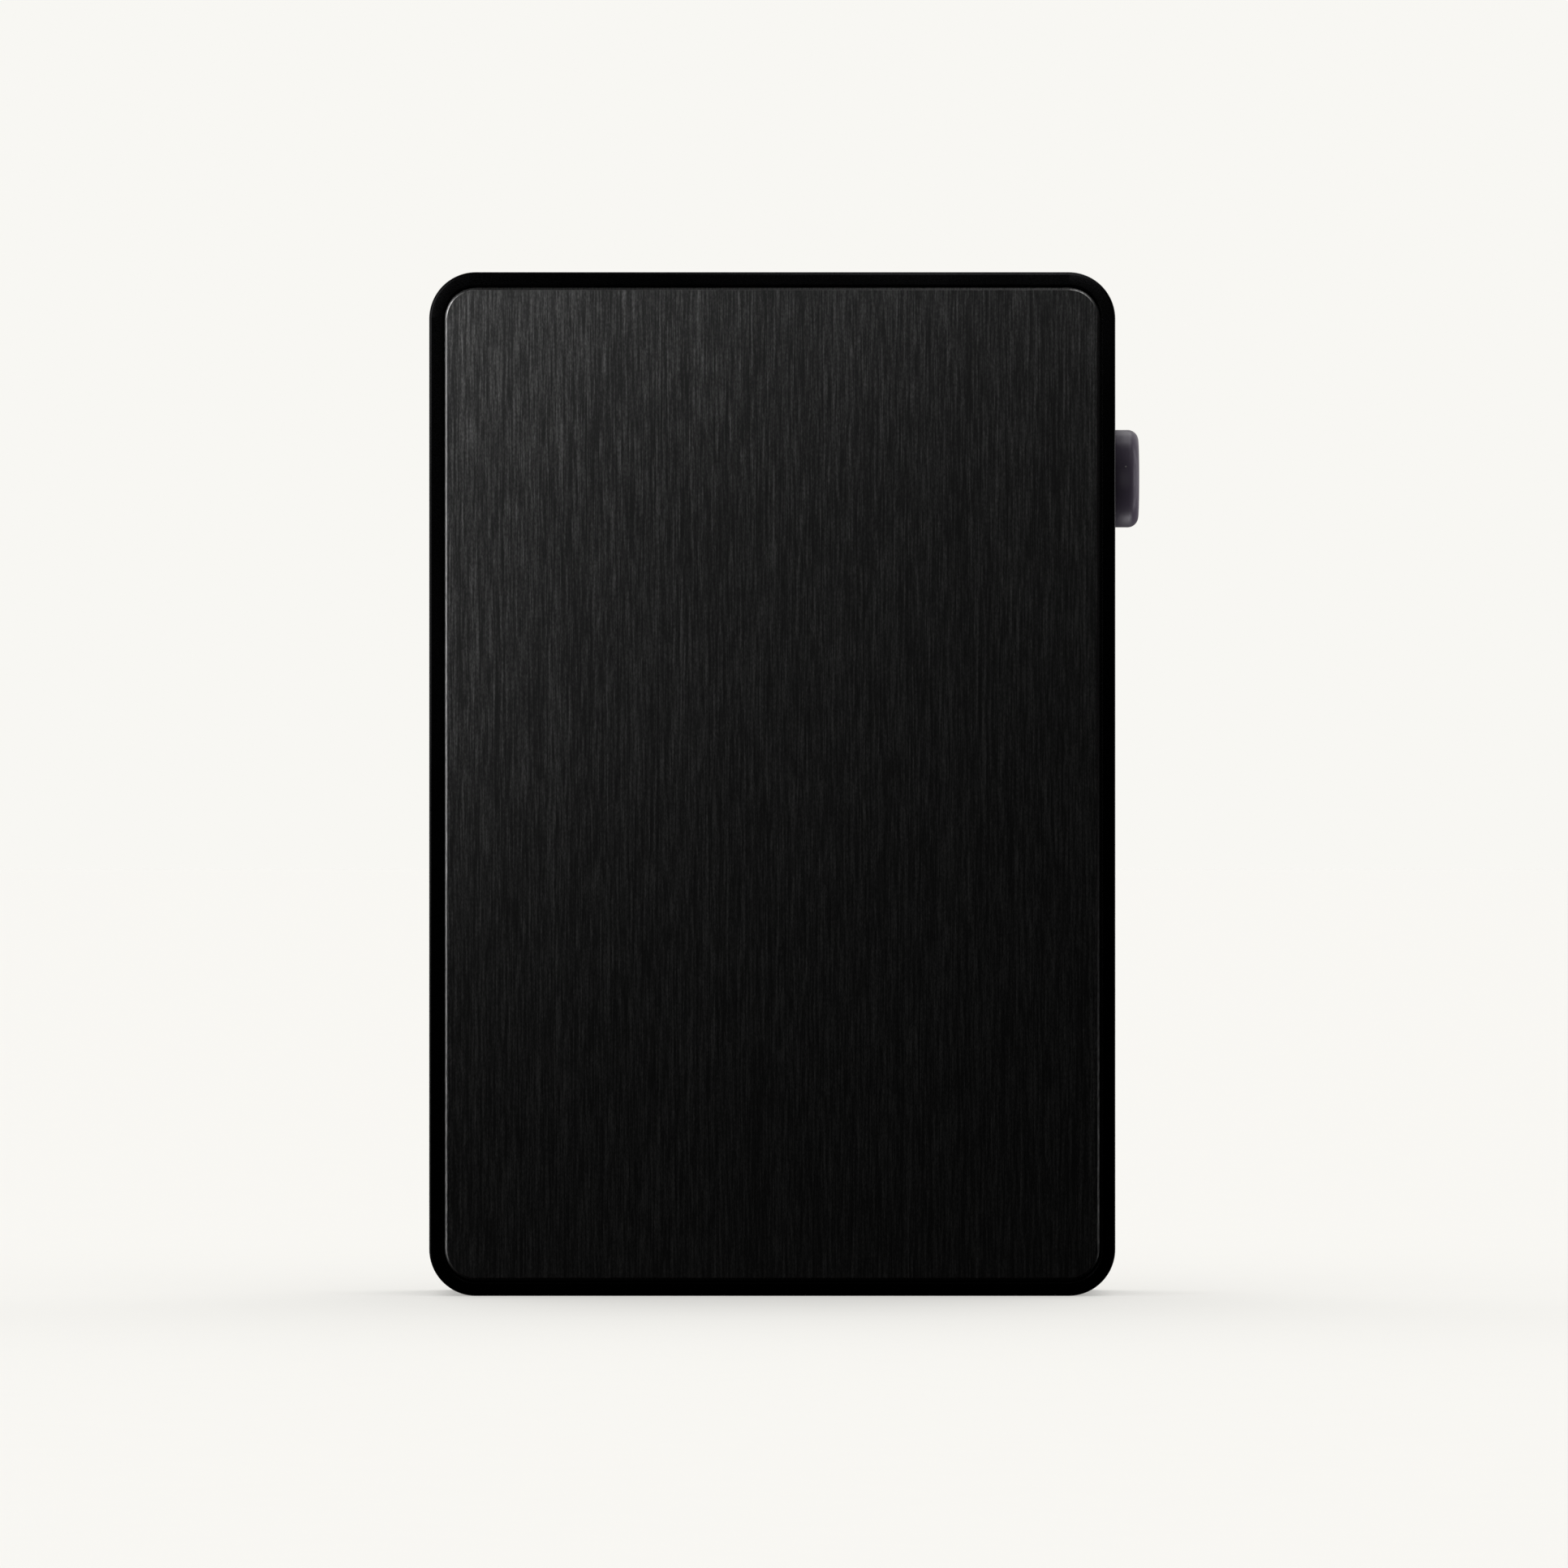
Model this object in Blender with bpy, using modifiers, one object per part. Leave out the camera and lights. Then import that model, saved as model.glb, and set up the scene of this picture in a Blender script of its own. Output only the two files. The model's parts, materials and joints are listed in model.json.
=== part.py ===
"""A pocket digital audio player, built as the real one is: a ring-shaped metal frame, closed by a
brushed back plate and a glass front, with a volume knob on one side, three keys and a card tray on
the other, two phone sockets on top and a USB port below.

The player stands on its bottom edge: +Z is up, the back plate faces -Y, the screen faces +Y and the
volume knob is on +X. The origin is the centre of the flat bottom edge. Lengths are in metres.
"""

import math

import bmesh
import bpy
from mathutils import Vector

MM = 0.001

# ---- Driving dimensions: the outside -------------------------------------------------------------
WIDTH = 63.0 * MM
DEPTH = 15.0 * MM
HEIGHT = 94.0 * MM
CORNER_R = 4.3 * MM
EDGE_CHAMFER = 0.35 * MM
RIM = 1.25 * MM  # the frame's lip beside the back plate and beside the glass
SEAM = 0.20 * MM  # the gap between a lip and what lies inside it
WALL = 2.4 * MM

SIDE_X = WIDTH / 2
BACK_Y = -DEPTH / 2
FRONT_Y = DEPTH / 2
INNER_X = SIDE_X - WALL
MID_Z = HEIGHT / 2

# ---- Driving dimensions: the layers, from the back plate to the glass -----------------------------
PLATE_T = 1.0 * MM
GLASS_T = 0.8 * MM
TAPE_T = 0.2 * MM
TAPE_GAP = 0.05 * MM
TAPE_W = 1.1 * MM
BACK_LEDGE_Y = BACK_Y + PLATE_T + TAPE_T + 2 * TAPE_GAP
FRONT_LEDGE_Y = FRONT_Y - GLASS_T - TAPE_T - 2 * TAPE_GAP
CHASSIS_Y = (2.9 * MM, 3.7 * MM)
BACKLIGHT_Y = (3.95 * MM, 5.4 * MM)
PANEL_Y = (5.45 * MM, 6.25 * MM)
MAIN_BOARD_Y = (-0.5 * MM, 0.5 * MM)
PORT_BOARD_Y = (1.3 * MM, 2.1 * MM)
BATTERY_Y = (-4.9 * MM, 2.1 * MM)
PAD_Y = (2.2 * MM, 2.8 * MM)
TAB_Y = (1.3 * MM, 2.8 * MM)

# ---- Driving dimensions: the controls and the ports ----------------------------------------------
KNOB_Z = 75.2 * MM
KNOB_R = 4.5 * MM
KNOB_OUT = 2.3 * MM  # how far the knob stands out of the side
KNOB_SUNK = 0.3 * MM  # how far its skirt sits inside the round pocket
POCKET_R = KNOB_R + 0.35 * MM
POCKET_DEPTH = 0.9 * MM  # deeper than the knob's skirt by more than the 0.4 mm that it presses in
SHAFT_R = 1.5 * MM
BUSHING_R = 2.5 * MM

KEY_L = 8.4 * MM
KEY_W = 2.8 * MM
KEY_PITCH = 10.5 * MM
KEY_MID_Z = 60.0 * MM
KEY_GAP = 0.15 * MM
SCOOP_L = 33.0 * MM
SCOOP_W = 5.2 * MM
SCOOP_DEPTH = 0.35 * MM

TRAY_Z = 23.0 * MM
TRAY_DOOR = (2.7 * MM, 13.7 * MM)  # its size along Y and along Z
TRAY_BED_W = 12.2 * MM
TRAY_BED_T = 1.3 * MM
TRAY_END_X = -13.3 * MM
CARD_SIZE = (15.0 * MM, 0.7 * MM, 11.0 * MM)
PIN_HOLE_R = 0.45 * MM

USB_X = 9.0 * MM  # beside the middle, which leaves the bottom's centre flat
USB_SIZE = (8.94 * MM, 3.26 * MM, 7.3 * MM)
USB_WALL = 0.3 * MM
USB_PLUG_GAP = 0.08 * MM
USB_MOUTH_Z = 0.4 * MM

# Each phone socket: its X, bore radius, collar radius, body width, body thickness and body length.
SOCKETS = {
    "headphone": (-17.0 * MM, 1.8 * MM, 3.1 * MM, 6.4 * MM, 5.2 * MM, 12.4 * MM),
    "balanced": (-4.0 * MM, 1.3 * MM, 2.6 * MM, 5.2 * MM, 4.6 * MM, 10.6 * MM),
}
COLLAR_GAP = 0.1 * MM
SOCKET_FLOOR = 1.2 * MM
SOCKET_TOP_Z = HEIGHT - WALL - 0.15 * MM

BOARD_SCREWS = ((-22.0, 56.0), (24.6, 56.5), (25.0, 84.4))  # X and Z, in mm
PORT_SCREWS = ((-22.0, 5.6), (19.0, 5.6))
STANDOFF_R = 1.6 * MM
CORNER_INSET = (26.7 * MM, 4.8 * MM)  # a corner screw's X, and its height from the nearest end
SCREW_R = 0.7 * MM
HEAD_R = 1.25 * MM
HEAD_T = 0.55 * MM

NAME = "audio_player"
TIGHT_MERGE = 1e-6  # the distance within which a turned piece's points are joined
SMALL_SIDES = 12  # facets round a screw, and round a pin or hole as small as one
FINE_SIDES = 16
ROUND_SIDES = 32
PAST = 1.0 * MM  # how far a cutter runs on past the material that it cuts
SCREW_ROOM = 0.1 * MM  # the gap round a screw's thread in the hole that it goes through
BOARD_ROOM = 0.15 * MM  # the gap round a screw in a circuit board's hole
SOLDER = 0.05 * MM  # the gap between a board and what is soldered to it


# ---- The scene and its materials -----------------------------------------------------------------
def clear_scene():
    for obj in list(bpy.data.objects):
        bpy.data.objects.remove(obj, do_unlink=True)


def new_collection(name):
    made = bpy.data.collections.new(name)
    bpy.context.scene.collection.children.link(made)
    return made


def principled(name, colour, roughness, metallic=0.0):
    made = bpy.data.materials.new(name)
    made.use_nodes = True
    shader = made.node_tree.nodes["Principled BSDF"]
    shader.inputs["Base Color"].default_value = (*colour, 1.0)
    shader.inputs["Roughness"].default_value = roughness
    shader.inputs["Metallic"].default_value = metallic
    return made


clear_scene()
PARTS = new_collection(NAME)
CUTTERS = new_collection("cutters")
CUTTERS.hide_render = True

FRAME_BLACK = principled("frame_black", (0.004, 0.004, 0.004), 0.45, 1.0)
BRUSHED_BLACK = principled("brushed_black", (0.03, 0.03, 0.03), 0.35, 1.0)
KNOB_SATIN = principled("knob_satin", (0.035, 0.03, 0.038), 0.3, 1.0)
COVER_GLASS = principled("cover_glass", (0.02, 0.02, 0.022), 0.05)
PANEL_DARK = principled("panel_dark", (0.01, 0.01, 0.013), 0.15)
TAPE_BLACK = principled("tape_black", (0.02, 0.02, 0.02), 0.8)
STAMPED_STEEL = principled("stamped_steel", (0.55, 0.55, 0.56), 0.3, 1.0)
SCREW_STEEL = principled("screw_steel", (0.25, 0.25, 0.26), 0.35, 1.0)
CAST_ALLOY = principled("cast_alloy", (0.45, 0.46, 0.47), 0.5, 1.0)
CELL_WRAP = principled("cell_wrap", (0.12, 0.12, 0.13), 0.4, 0.6)
BOARD_BLACK = principled("board_black", (0.01, 0.02, 0.015), 0.4)
CHIP_EPOXY = principled("chip_epoxy", (0.02, 0.02, 0.02), 0.6)
MOULDED_BLACK = principled("moulded_black", (0.015, 0.015, 0.015), 0.5)
GILT_BRASS = principled("gilt_brass", (0.8, 0.58, 0.25), 0.25, 1.0)
FLEX_AMBER = principled("flex_amber", (0.25, 0.1, 0.02), 0.4)
CARD_BLACK = principled("card_black", (0.02, 0.02, 0.02), 0.45)


# ---- Making shapes -------------------------------------------------------------------------------
def place(name, data, material, location=(0, 0, 0), rotation=(0, 0, 0), collection=None):
    """A new object for a mesh or curve, in the part's collection unless another is given."""
    obj = bpy.data.objects.new(name, data)
    obj.location = location
    obj.rotation_euler = rotation
    if material is not None:
        obj.data.materials.append(material)
    (collection or PARTS).objects.link(obj)
    return obj


def mesh_from(bm, name):
    """The mesh of shapes drawn in millimetres, in metres. Drawing in millimetres keeps them well clear
    of the modelling tools' own small tolerances."""
    bmesh.ops.recalc_face_normals(bm, faces=bm.faces)
    bmesh.ops.scale(bm, vec=Vector((MM, MM, MM)), verts=bm.verts)
    mesh = bpy.data.meshes.new(name)
    bm.to_mesh(mesh)
    bm.free()
    mesh.shade_smooth()
    mesh.set_sharp_from_angle(angle=math.radians(30))
    return mesh


def in_mm(lengths):
    return Vector([value / MM for value in lengths])


def edges_along(bm, axis):
    """The edges of a box that run along one axis."""
    return [e for e in bm.edges if abs((e.verts[0].co - e.verts[1].co).normalized()[axis]) > 0.99]


def rounded_block(size, axis=1, radius=0.0, steps=4, chamfer=0.0):
    """A box centred on its own origin, its edges along one axis rounded and its two ends chamfered."""
    straight = in_mm(size)
    straight[axis] -= 2 * chamfer / MM
    bm = bmesh.new()
    bmesh.ops.create_cube(bm, size=1.0)
    bmesh.ops.scale(bm, vec=straight, verts=bm.verts)
    if radius:
        edges = edges_along(bm, axis)
        bmesh.ops.bevel(
            bm, geom=edges, offset=radius / MM, segments=steps, profile=0.5, affect="EDGES"
        )
    if chamfer:
        bm.normal_update()
        ends = [face for face in bm.faces if abs(face.normal[axis]) > 0.99]
        width = chamfer / MM
        bmesh.ops.inset_individual(
            bm, faces=ends, thickness=width, depth=width, use_even_offset=True
        )
    return bm


def block(name, low, high, material=None, axis=1, radius=0.0, steps=4, chamfer=0.0):
    """A box between two corners. With no material it is a cutter."""
    size = [h - l for l, h in zip(low, high)]
    middle = [(h + l) / 2 for l, h in zip(low, high)]
    mesh = mesh_from(rounded_block(size, axis, radius, steps, chamfer), name)
    if material is None:
        return as_cutter(place(name, mesh, None, middle, collection=CUTTERS))
    return place(name, mesh, material, middle)


TURN = {0: (0, math.pi / 2, 0), 1: (-math.pi / 2, 0, 0), 2: (0, 0, 0)}  # +Z turned to +X, +Y, +Z


def rod(name, axis, centre, radius, material=None, sides=FINE_SIDES, flat=None):
    """A cylinder along an axis. centre gives two numbers and, at the axis, its (low, high) ends.
    flat is a D-section's distance from the axis to its flat, which faces the rod's own +X."""
    low, high = centre[axis]
    middle = list(centre)
    middle[axis] = (low + high) / 2
    bm = bmesh.new()
    across, depth = radius / MM, (high - low) / MM
    bmesh.ops.create_cone(
        bm, cap_ends=True, segments=sides, radius1=across, radius2=across, depth=depth
    )
    if flat is not None:
        cut = bmesh.ops.bisect_plane(
            bm,
            geom=bm.verts[:] + bm.edges[:] + bm.faces[:],
            plane_co=(flat / MM, 0, 0),
            plane_no=(1, 0, 0),
            clear_outer=True,
        )
        rim = [e for e in cut["geom_cut"] if isinstance(e, bmesh.types.BMEdge)]
        bmesh.ops.holes_fill(bm, edges=rim, sides=0)
    mesh = mesh_from(bm, name)
    if material is None:
        return as_cutter(place(name, mesh, None, middle, TURN[axis], CUTTERS))
    return place(name, mesh, material, middle, TURN[axis])


def turned(name, profile, axis, base, material, steps=ROUND_SIDES, ring=False):
    """A turned solid. The profile lists (radius, height along the axis) down the outer side, from the
    top to the bottom; a ring's profile closes on itself, and another's ends lie on the axis."""
    mesh = bpy.data.meshes.new(name)
    points = [(radius, 0.0, height) for radius, height in profile]
    links = [(i, i + 1) for i in range(len(points) - 1)]
    if ring:
        links.append((len(points) - 1, 0))
    mesh.from_pydata(points, links, [])
    obj = place(name, mesh, material, base, TURN[axis])
    screw = obj.modifiers.new("turn", "SCREW")
    screw.axis = "Z"
    screw.angle = math.tau
    screw.steps = screw.render_steps = steps
    screw.use_merge_vertices = True
    screw.merge_threshold = TIGHT_MERGE
    screw.use_normal_calculate = not ring
    screw.use_smooth_shade = True
    return obj


def arc(centre, radius, start, end, steps):
    """Points on a circle between two angles in degrees, both ends included."""
    angles = [math.radians(start + (end - start) * i / steps) for i in range(steps + 1)]
    return [(centre[0] + radius * math.cos(a), centre[1] + radius * math.sin(a)) for a in angles]


def circle_loop(centre, radius, sides=FINE_SIDES):
    return arc(centre, radius, 0, 360, sides)[:-1]


def outline_plate(name, loops, y_range, material):
    """A flat plate in the XZ plane. The first loop is its outline, and the others are holes in it."""
    curve = bpy.data.curves.new(name, "CURVE")
    curve.dimensions = "2D"
    curve.fill_mode = "BOTH"
    curve.extrude = (y_range[1] - y_range[0]) / 2
    for loop in loops:
        spline = curve.splines.new("POLY")
        spline.points.add(len(loop) - 1)
        for point, (x, z) in zip(spline.points, loop):
            point.co = (x, z, 0.0, 1.0)
        spline.use_cyclic_u = True
    middle = (0.0, (y_range[0] + y_range[1]) / 2, 0.0)
    return place(name, curve, material, middle, (math.pi / 2, 0, 0))


def ribbon(name, path, width, axis, middle, thickness, material):
    """A flat cable: a path of points, in millimetres, in the plane across an axis, made as wide as
    asked along that axis, then given its thickness."""
    others = [i for i in range(3) if i != axis]
    bm = bmesh.new()
    line = []
    for first, second in path:
        point = Vector((0.0, 0.0, 0.0))
        point[others[0]], point[others[1]] = first, second
        point[axis] = (middle - width / 2) / MM
        line.append(bm.verts.new(point))
    edges = [bm.edges.new(pair) for pair in zip(line, line[1:])]
    strip = bmesh.ops.extrude_edge_only(bm, edges=edges)["geom"]
    shift = Vector((0.0, 0.0, 0.0))
    shift[axis] = width / MM
    far_side = [v for v in strip if isinstance(v, bmesh.types.BMVert)]
    bmesh.ops.translate(bm, vec=shift, verts=far_side)
    obj = place(name, mesh_from(bm, name), material)
    solidify = obj.modifiers.new("thickness", "SOLIDIFY")
    solidify.thickness = thickness
    solidify.offset = 0.0
    return obj


def as_cutter(obj):
    obj.hide_render = True
    obj.display_type = "WIRE"
    return obj


def combine(target, operation, *others):
    for other in others:
        step = target.modifiers.new(f"{operation.lower()} {other.name}", "BOOLEAN")
        step.operation = operation
        step.object = other
    return target


def cut(target, *cutters):
    return combine(target, "DIFFERENCE", *cutters)


def join(target, *pieces):
    return combine(target, "UNION", *(as_cutter(piece) for piece in pieces))


# ---- The casing ----------------------------------------------------------------------------------
def inset_block(name, inset, y_range, material=None, steps=5, radius=None):
    """A rounded block whose outline is the player's own, moved in by an inset."""
    low = (-SIDE_X + inset, y_range[0], inset)
    high = (SIDE_X - inset, y_range[1], HEIGHT - inset)
    return block(name, low, high, material, radius=radius or CORNER_R - inset, steps=steps)


def key_heights():
    """Each side key's name and the height of its middle, from the lowest up."""
    return {
        "next": KEY_MID_Z - KEY_PITCH,
        "play": KEY_MID_Z,
        "previous": KEY_MID_Z + KEY_PITCH,
    }


def stadium(name, x_range, y_half, z_mid, z_half, material=None, steps=4, chamfer=0.0):
    """A round-ended bar across a side wall: it runs along X, and its section is longest along Z."""
    low = (x_range[0], -y_half, z_mid - z_half)
    high = (x_range[1], y_half, z_mid + z_half)
    return block(name, low, high, material, 0, y_half * 0.98, steps, chamfer)


def corner_screws():
    """(x, z) of the four screws that hold the chassis to the frame's corner tabs."""
    x, from_end = CORNER_INSET
    return [(sx * x, z) for z in (from_end, HEIGHT - from_end) for sx in (-1, 1)]


def body_frame():
    size = (WIDTH, DEPTH, HEIGHT)
    shell = mesh_from(rounded_block(size, 1, CORNER_R, 8, EDGE_CHAMFER), "body_frame")
    frame = place("body_frame", shell, FRAME_BLACK, (0, 0, MID_Z))
    cut(
        frame,
        inset_block("rear_pocket", RIM, (BACK_Y - PAST, BACK_LEDGE_Y)),
        inset_block("front_pocket", RIM, (FRONT_LEDGE_Y, FRONT_Y + PAST)),
        inset_block("hollow", WALL, (BACK_Y - PAST, FRONT_Y + PAST), radius=2.0 * MM),
    )
    tab = 4.6 * MM
    for i, (x, z) in enumerate(corner_screws()):
        outer_x = math.copysign(INNER_X + 0.5 * MM, x)
        outer_z = WALL - 0.5 * MM if z < MID_Z else HEIGHT - WALL + 0.5 * MM
        inner_x = math.copysign(INNER_X - tab, x)
        inner_z = WALL + tab if z < MID_Z else HEIGHT - WALL - tab
        low = (min(outer_x, inner_x), TAB_Y[0], min(outer_z, inner_z))
        high = (max(outer_x, inner_x), TAB_Y[1], max(outer_z, inner_z))
        join(frame, block(f"corner_tab_{i + 1}", low, high))
        centre = (x, (TAB_Y[0] - PAST, TAB_Y[1] + PAST), z)
        cut(frame, rod(f"tab_hole_{i + 1}", 1, centre, SCREW_R + SCREW_ROOM))
    cut_knob_side(frame)
    cut_key_side(frame)
    cut_ends(frame)
    return frame


def cut_knob_side(frame):
    pocket = (SIDE_X - POCKET_DEPTH, SIDE_X + PAST)
    cut(
        frame,
        rod("knob_pocket", 0, (pocket, 0, KNOB_Z), POCKET_R, sides=ROUND_SIDES),
        rod("bushing_hole", 0, ((INNER_X - PAST, SIDE_X), 0, KNOB_Z), BUSHING_R + 0.2 * MM),
    )


def cut_key_side(frame):
    scoop = (-SIDE_X - PAST, -SIDE_X + SCOOP_DEPTH)
    cut(frame, stadium("key_scoop", scoop, SCOOP_W / 2, KEY_MID_Z, SCOOP_L / 2))
    through = (-SIDE_X - PAST, -INNER_X + PAST)
    for key, z in key_heights().items():
        half_w, half_l = KEY_W / 2 + KEY_GAP, KEY_L / 2 + KEY_GAP
        cut(frame, stadium(f"{key}_key_hole", through, half_w, z, half_l))
    half_w, half_l = TRAY_DOOR[0] / 2 + KEY_GAP, TRAY_DOOR[1] / 2 + KEY_GAP
    cut(frame, stadium("tray_slot", through, half_w, TRAY_Z, half_l))


def cut_ends(frame):
    top = (HEIGHT - WALL - PAST, HEIGHT + PAST)
    for name, (x, _, collar_r, *_) in SOCKETS.items():
        cut(frame, rod(f"{name}_hole", 2, (x, 0, top), collar_r + COLLAR_GAP, sides=FINE_SIDES))
    half_w = USB_SIZE[0] / 2 + 0.25 * MM
    half_t = USB_SIZE[1] / 2 + 0.25 * MM
    low, high = (USB_X - half_w, -half_t, -PAST), (USB_X + half_w, half_t, WALL + PAST)
    cut(frame, block("usb_hole", low, high, None, 2, half_t * 0.98))


def casing_covers():
    inset = RIM + SEAM
    inset_block("back_plate", inset, (BACK_Y, BACK_Y + PLATE_T), BRUSHED_BLACK)
    inset_block("front_glass", inset, (FRONT_Y - GLASS_T, FRONT_Y), COVER_GLASS)
    back_tape = (BACK_Y + PLATE_T + TAPE_GAP, BACK_LEDGE_Y - TAPE_GAP)
    front_tape = (FRONT_LEDGE_Y + TAPE_GAP, FRONT_Y - GLASS_T - TAPE_GAP)
    for name, y_range in (("back_tape", back_tape), ("glass_tape", front_tape)):
        tape = inset_block(name, RIM + 0.1 * MM, y_range, TAPE_BLACK)
        opening = (y_range[0] - MM, y_range[1] + MM)
        cut(tape, inset_block(f"{name}_opening", RIM + 0.1 * MM + TAPE_W, opening, radius=2.0 * MM))


# ---- The display and the chassis behind it -------------------------------------------------------
DISPLAY_HALF = (26.4 * MM, 40.2 * MM)


def display():
    for name, y_range, material in (
        ("display_backlight", BACKLIGHT_Y, STAMPED_STEEL),
        ("display_panel", PANEL_Y, PANEL_DARK),
    ):
        low = (-DISPLAY_HALF[0], y_range[0], MID_Z - DISPLAY_HALF[1])
        high = (DISPLAY_HALF[0], y_range[1], MID_Z + DISPLAY_HALF[1])
        block(name, low, high, material, radius=0.6 * MM, steps=2)
    # The flex leaves the backlight's rear, drops through a slot in the chassis and meets the board.
    path = [(3.85, 57.5), (3.85, 60.2), (3.5, 60.9), (2.4, 61.4), (1.1, 61.9), (0.75, 62.6)]
    path.append((0.75, 65.0))
    ribbon("display_flex", path, 9.0 * MM, 0, -8.0 * MM, 0.15 * MM, FLEX_AMBER)


def mid_chassis():
    inset = WALL + 0.3 * MM
    chassis = inset_block("mid_chassis", inset, CHASSIS_Y, CAST_ALLOY, 3, 1.8 * MM)
    back, front = CHASSIS_Y
    overlap = 0.3 * MM
    for group, board_y in ((BOARD_SCREWS, MAIN_BOARD_Y), (PORT_SCREWS, PORT_BOARD_Y)):
        for x, z in group:
            reach = (board_y[1] + 0.05 * MM, back + overlap)
            tag = f"{x:+.0f}_{z:.0f}".replace("+", "right_").replace("-", "left_")
            centre = (x * MM, reach, z * MM)
            join(chassis, rod(f"standoff_{tag}", 1, centre, STANDOFF_R, sides=SMALL_SIDES))
            centre = (x * MM, (board_y[1] - PAST, front + PAST), z * MM)
            cut(chassis, rod(f"pilot_{tag}", 1, centre, SCREW_R + SCREW_ROOM, sides=SMALL_SIDES))
    for i, (x, z) in enumerate(corner_screws()):
        hole = (back - PAST, front + PAST)
        seat = (front - HEAD_T - 0.05 * MM, front + PAST)
        cut(
            chassis,
            rod(f"corner_hole_{i + 1}", 1, (x, hole, z), SCREW_R + SCREW_ROOM, sides=SMALL_SIDES),
            rod(f"corner_seat_{i + 1}", 1, (x, seat, z), HEAD_R + SCREW_ROOM, sides=SMALL_SIDES),
        )
    flex_slot = ((-13.5 * MM, back - MM, 59.9 * MM), (-2.5 * MM, front + MM, 63.2 * MM))
    cut(chassis, block("flex_slot", *flex_slot, radius=0.8 * MM, steps=2))
    for side, x in (("left", -20.0 * MM), ("right", 12.0 * MM)):
        low, high = (x - 5 * MM, back - MM, 70 * MM), (x + 5 * MM, front + MM, 82 * MM)
        cut(chassis, block(f"{side}_window", low, high, radius=1.5 * MM, steps=2))


# ---- The battery ---------------------------------------------------------------------------------
BATTERY_X = (-11.5 * MM, 27.5 * MM)
BATTERY_Z = (13.0 * MM, 50.5 * MM)


def battery():
    low = (BATTERY_X[0], BATTERY_Y[0], BATTERY_Z[0])
    high = (BATTERY_X[1], BATTERY_Y[1], BATTERY_Z[1])
    block("battery_cell", low, high, CELL_WRAP, radius=1.2 * MM, steps=3, chamfer=0.4 * MM)
    pad = 4.0 * MM
    block(
        "battery_pad",
        (low[0] + pad, PAD_Y[0], low[2] + pad),
        (high[0] - pad, PAD_Y[1], high[2] - pad),
        TAPE_BLACK,
    )
    path = [(-2.2, 50.7), (-2.2, 51.6), (-1.7, 52.3), (-1.35, 53.2), (-1.3, 54.4)]
    ribbon("battery_lead", path, 4.0 * MM, 0, 19.8 * MM, 0.2 * MM, FLEX_AMBER)
    low, high = (17.2, -2.0, 54.6), (22.4, -0.55, 57.4)
    block("battery_connector", scaled(low), scaled(high), MOULDED_BLACK)


def scaled(point):
    return [value * MM for value in point]


# ---- The boards and what is soldered to them -----------------------------------------------------
def screw_holes(places):
    """The outlines of a board's screw holes, at places given in millimetres."""
    radius = SCREW_R + BOARD_ROOM
    return [circle_loop((x * MM, z * MM), radius, SMALL_SIDES) for x, z in places]


def main_board():
    """Its outline, clockwise from the lower left, has notches for the side keys, the two sockets and
    the encoder, and it has a hole for each of its screws."""
    left, right, low, top = -28.4, 28.4, 53.0, 90.9
    outline = [(-25.0, low), (-25.0, 77.2), (left, 77.2), (left, top)]
    for x, _, _, width, _, length in SOCKETS.values():
        half = width / 2 / MM + 0.3
        floor = (SOCKET_TOP_Z - length) / MM - 0.3
        near, far = x / MM - half, x / MM + half
        outline += [(near, top), (near, floor), (far, floor), (far, top)]
    above, below, notch = KNOB_Z / MM + 4.3, KNOB_Z / MM - 4.3, 20.7
    outline += [(right, top), (right, above), (notch, above)]
    outline += [(notch, below), (right, below), (right, low)]
    loops = [[(x * MM, z * MM) for x, z in outline]]
    loops += screw_holes(BOARD_SCREWS)
    outline_plate("main_board", loops, MAIN_BOARD_Y, BOARD_BLACK)


def port_board():
    """An L-shaped board: its foot carries the USB port and its upright the card reader."""
    usb_left = (USB_X - USB_SIZE[0] / 2) / MM - 0.3
    usb_right = (USB_X + USB_SIZE[0] / 2) / MM + 0.3
    outline = [(-28.3, 7.3), (-28.3, 35.0), (-12.4, 35.0), (-12.4, 11.5), (24.0, 11.5), (24.0, 2.9)]
    outline += [(usb_right, 2.9), (usb_right, 8.2), (usb_left, 8.2), (usb_left, 2.9)]
    outline += [(-24.2, 2.9), (-24.2, 7.3)]
    loops = [[(x * MM, z * MM) for x, z in outline]]
    loops += screw_holes(PORT_SCREWS)
    outline_plate("port_board", loops, PORT_BOARD_Y, BOARD_BLACK)


# Each chip on the main board's rear face: its name, middle X and Z, width, height and thickness,
# in millimetres.
CHIPS = (
    ("processor_chip", 9.5, 63.0, 11.0, 11.0, 1.0),
    ("memory_chip", 9.5, 75.6, 9.0, 8.0, 1.0),
    ("power_chip", 20.5, 64.0, 5.0, 5.0, 0.9),
    ("left_converter_chip", -20.3, 71.8, 5.5, 5.5, 1.0),
    ("right_converter_chip", -13.0, 71.8, 5.5, 5.5, 1.0),
    ("headphone_amplifier_chip", -5.5, 71.8, 4.2, 4.2, 0.9),
)


def soldered_parts():
    for name, x, z, width, height, thickness in CHIPS:
        y_range = (MAIN_BOARD_Y[0] - SOLDER - thickness * MM, MAIN_BOARD_Y[0] - SOLDER)
        low = ((x - width / 2) * MM, y_range[0], (z - height / 2) * MM)
        high = ((x + width / 2) * MM, y_range[1], (z + height / 2) * MM)
        block(name, low, high, CHIP_EPOXY)
    for i, (x, z) in enumerate(((-20.3, 62.0), (-13.0, 62.0))):
        y_range = (MAIN_BOARD_Y[0] - 4.6 * MM, MAIN_BOARD_Y[0] - SOLDER)
        rod(f"audio_capacitor_{i + 1}", 1, (x * MM, y_range, z * MM), 1.8 * MM, STAMPED_STEEL)


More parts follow.
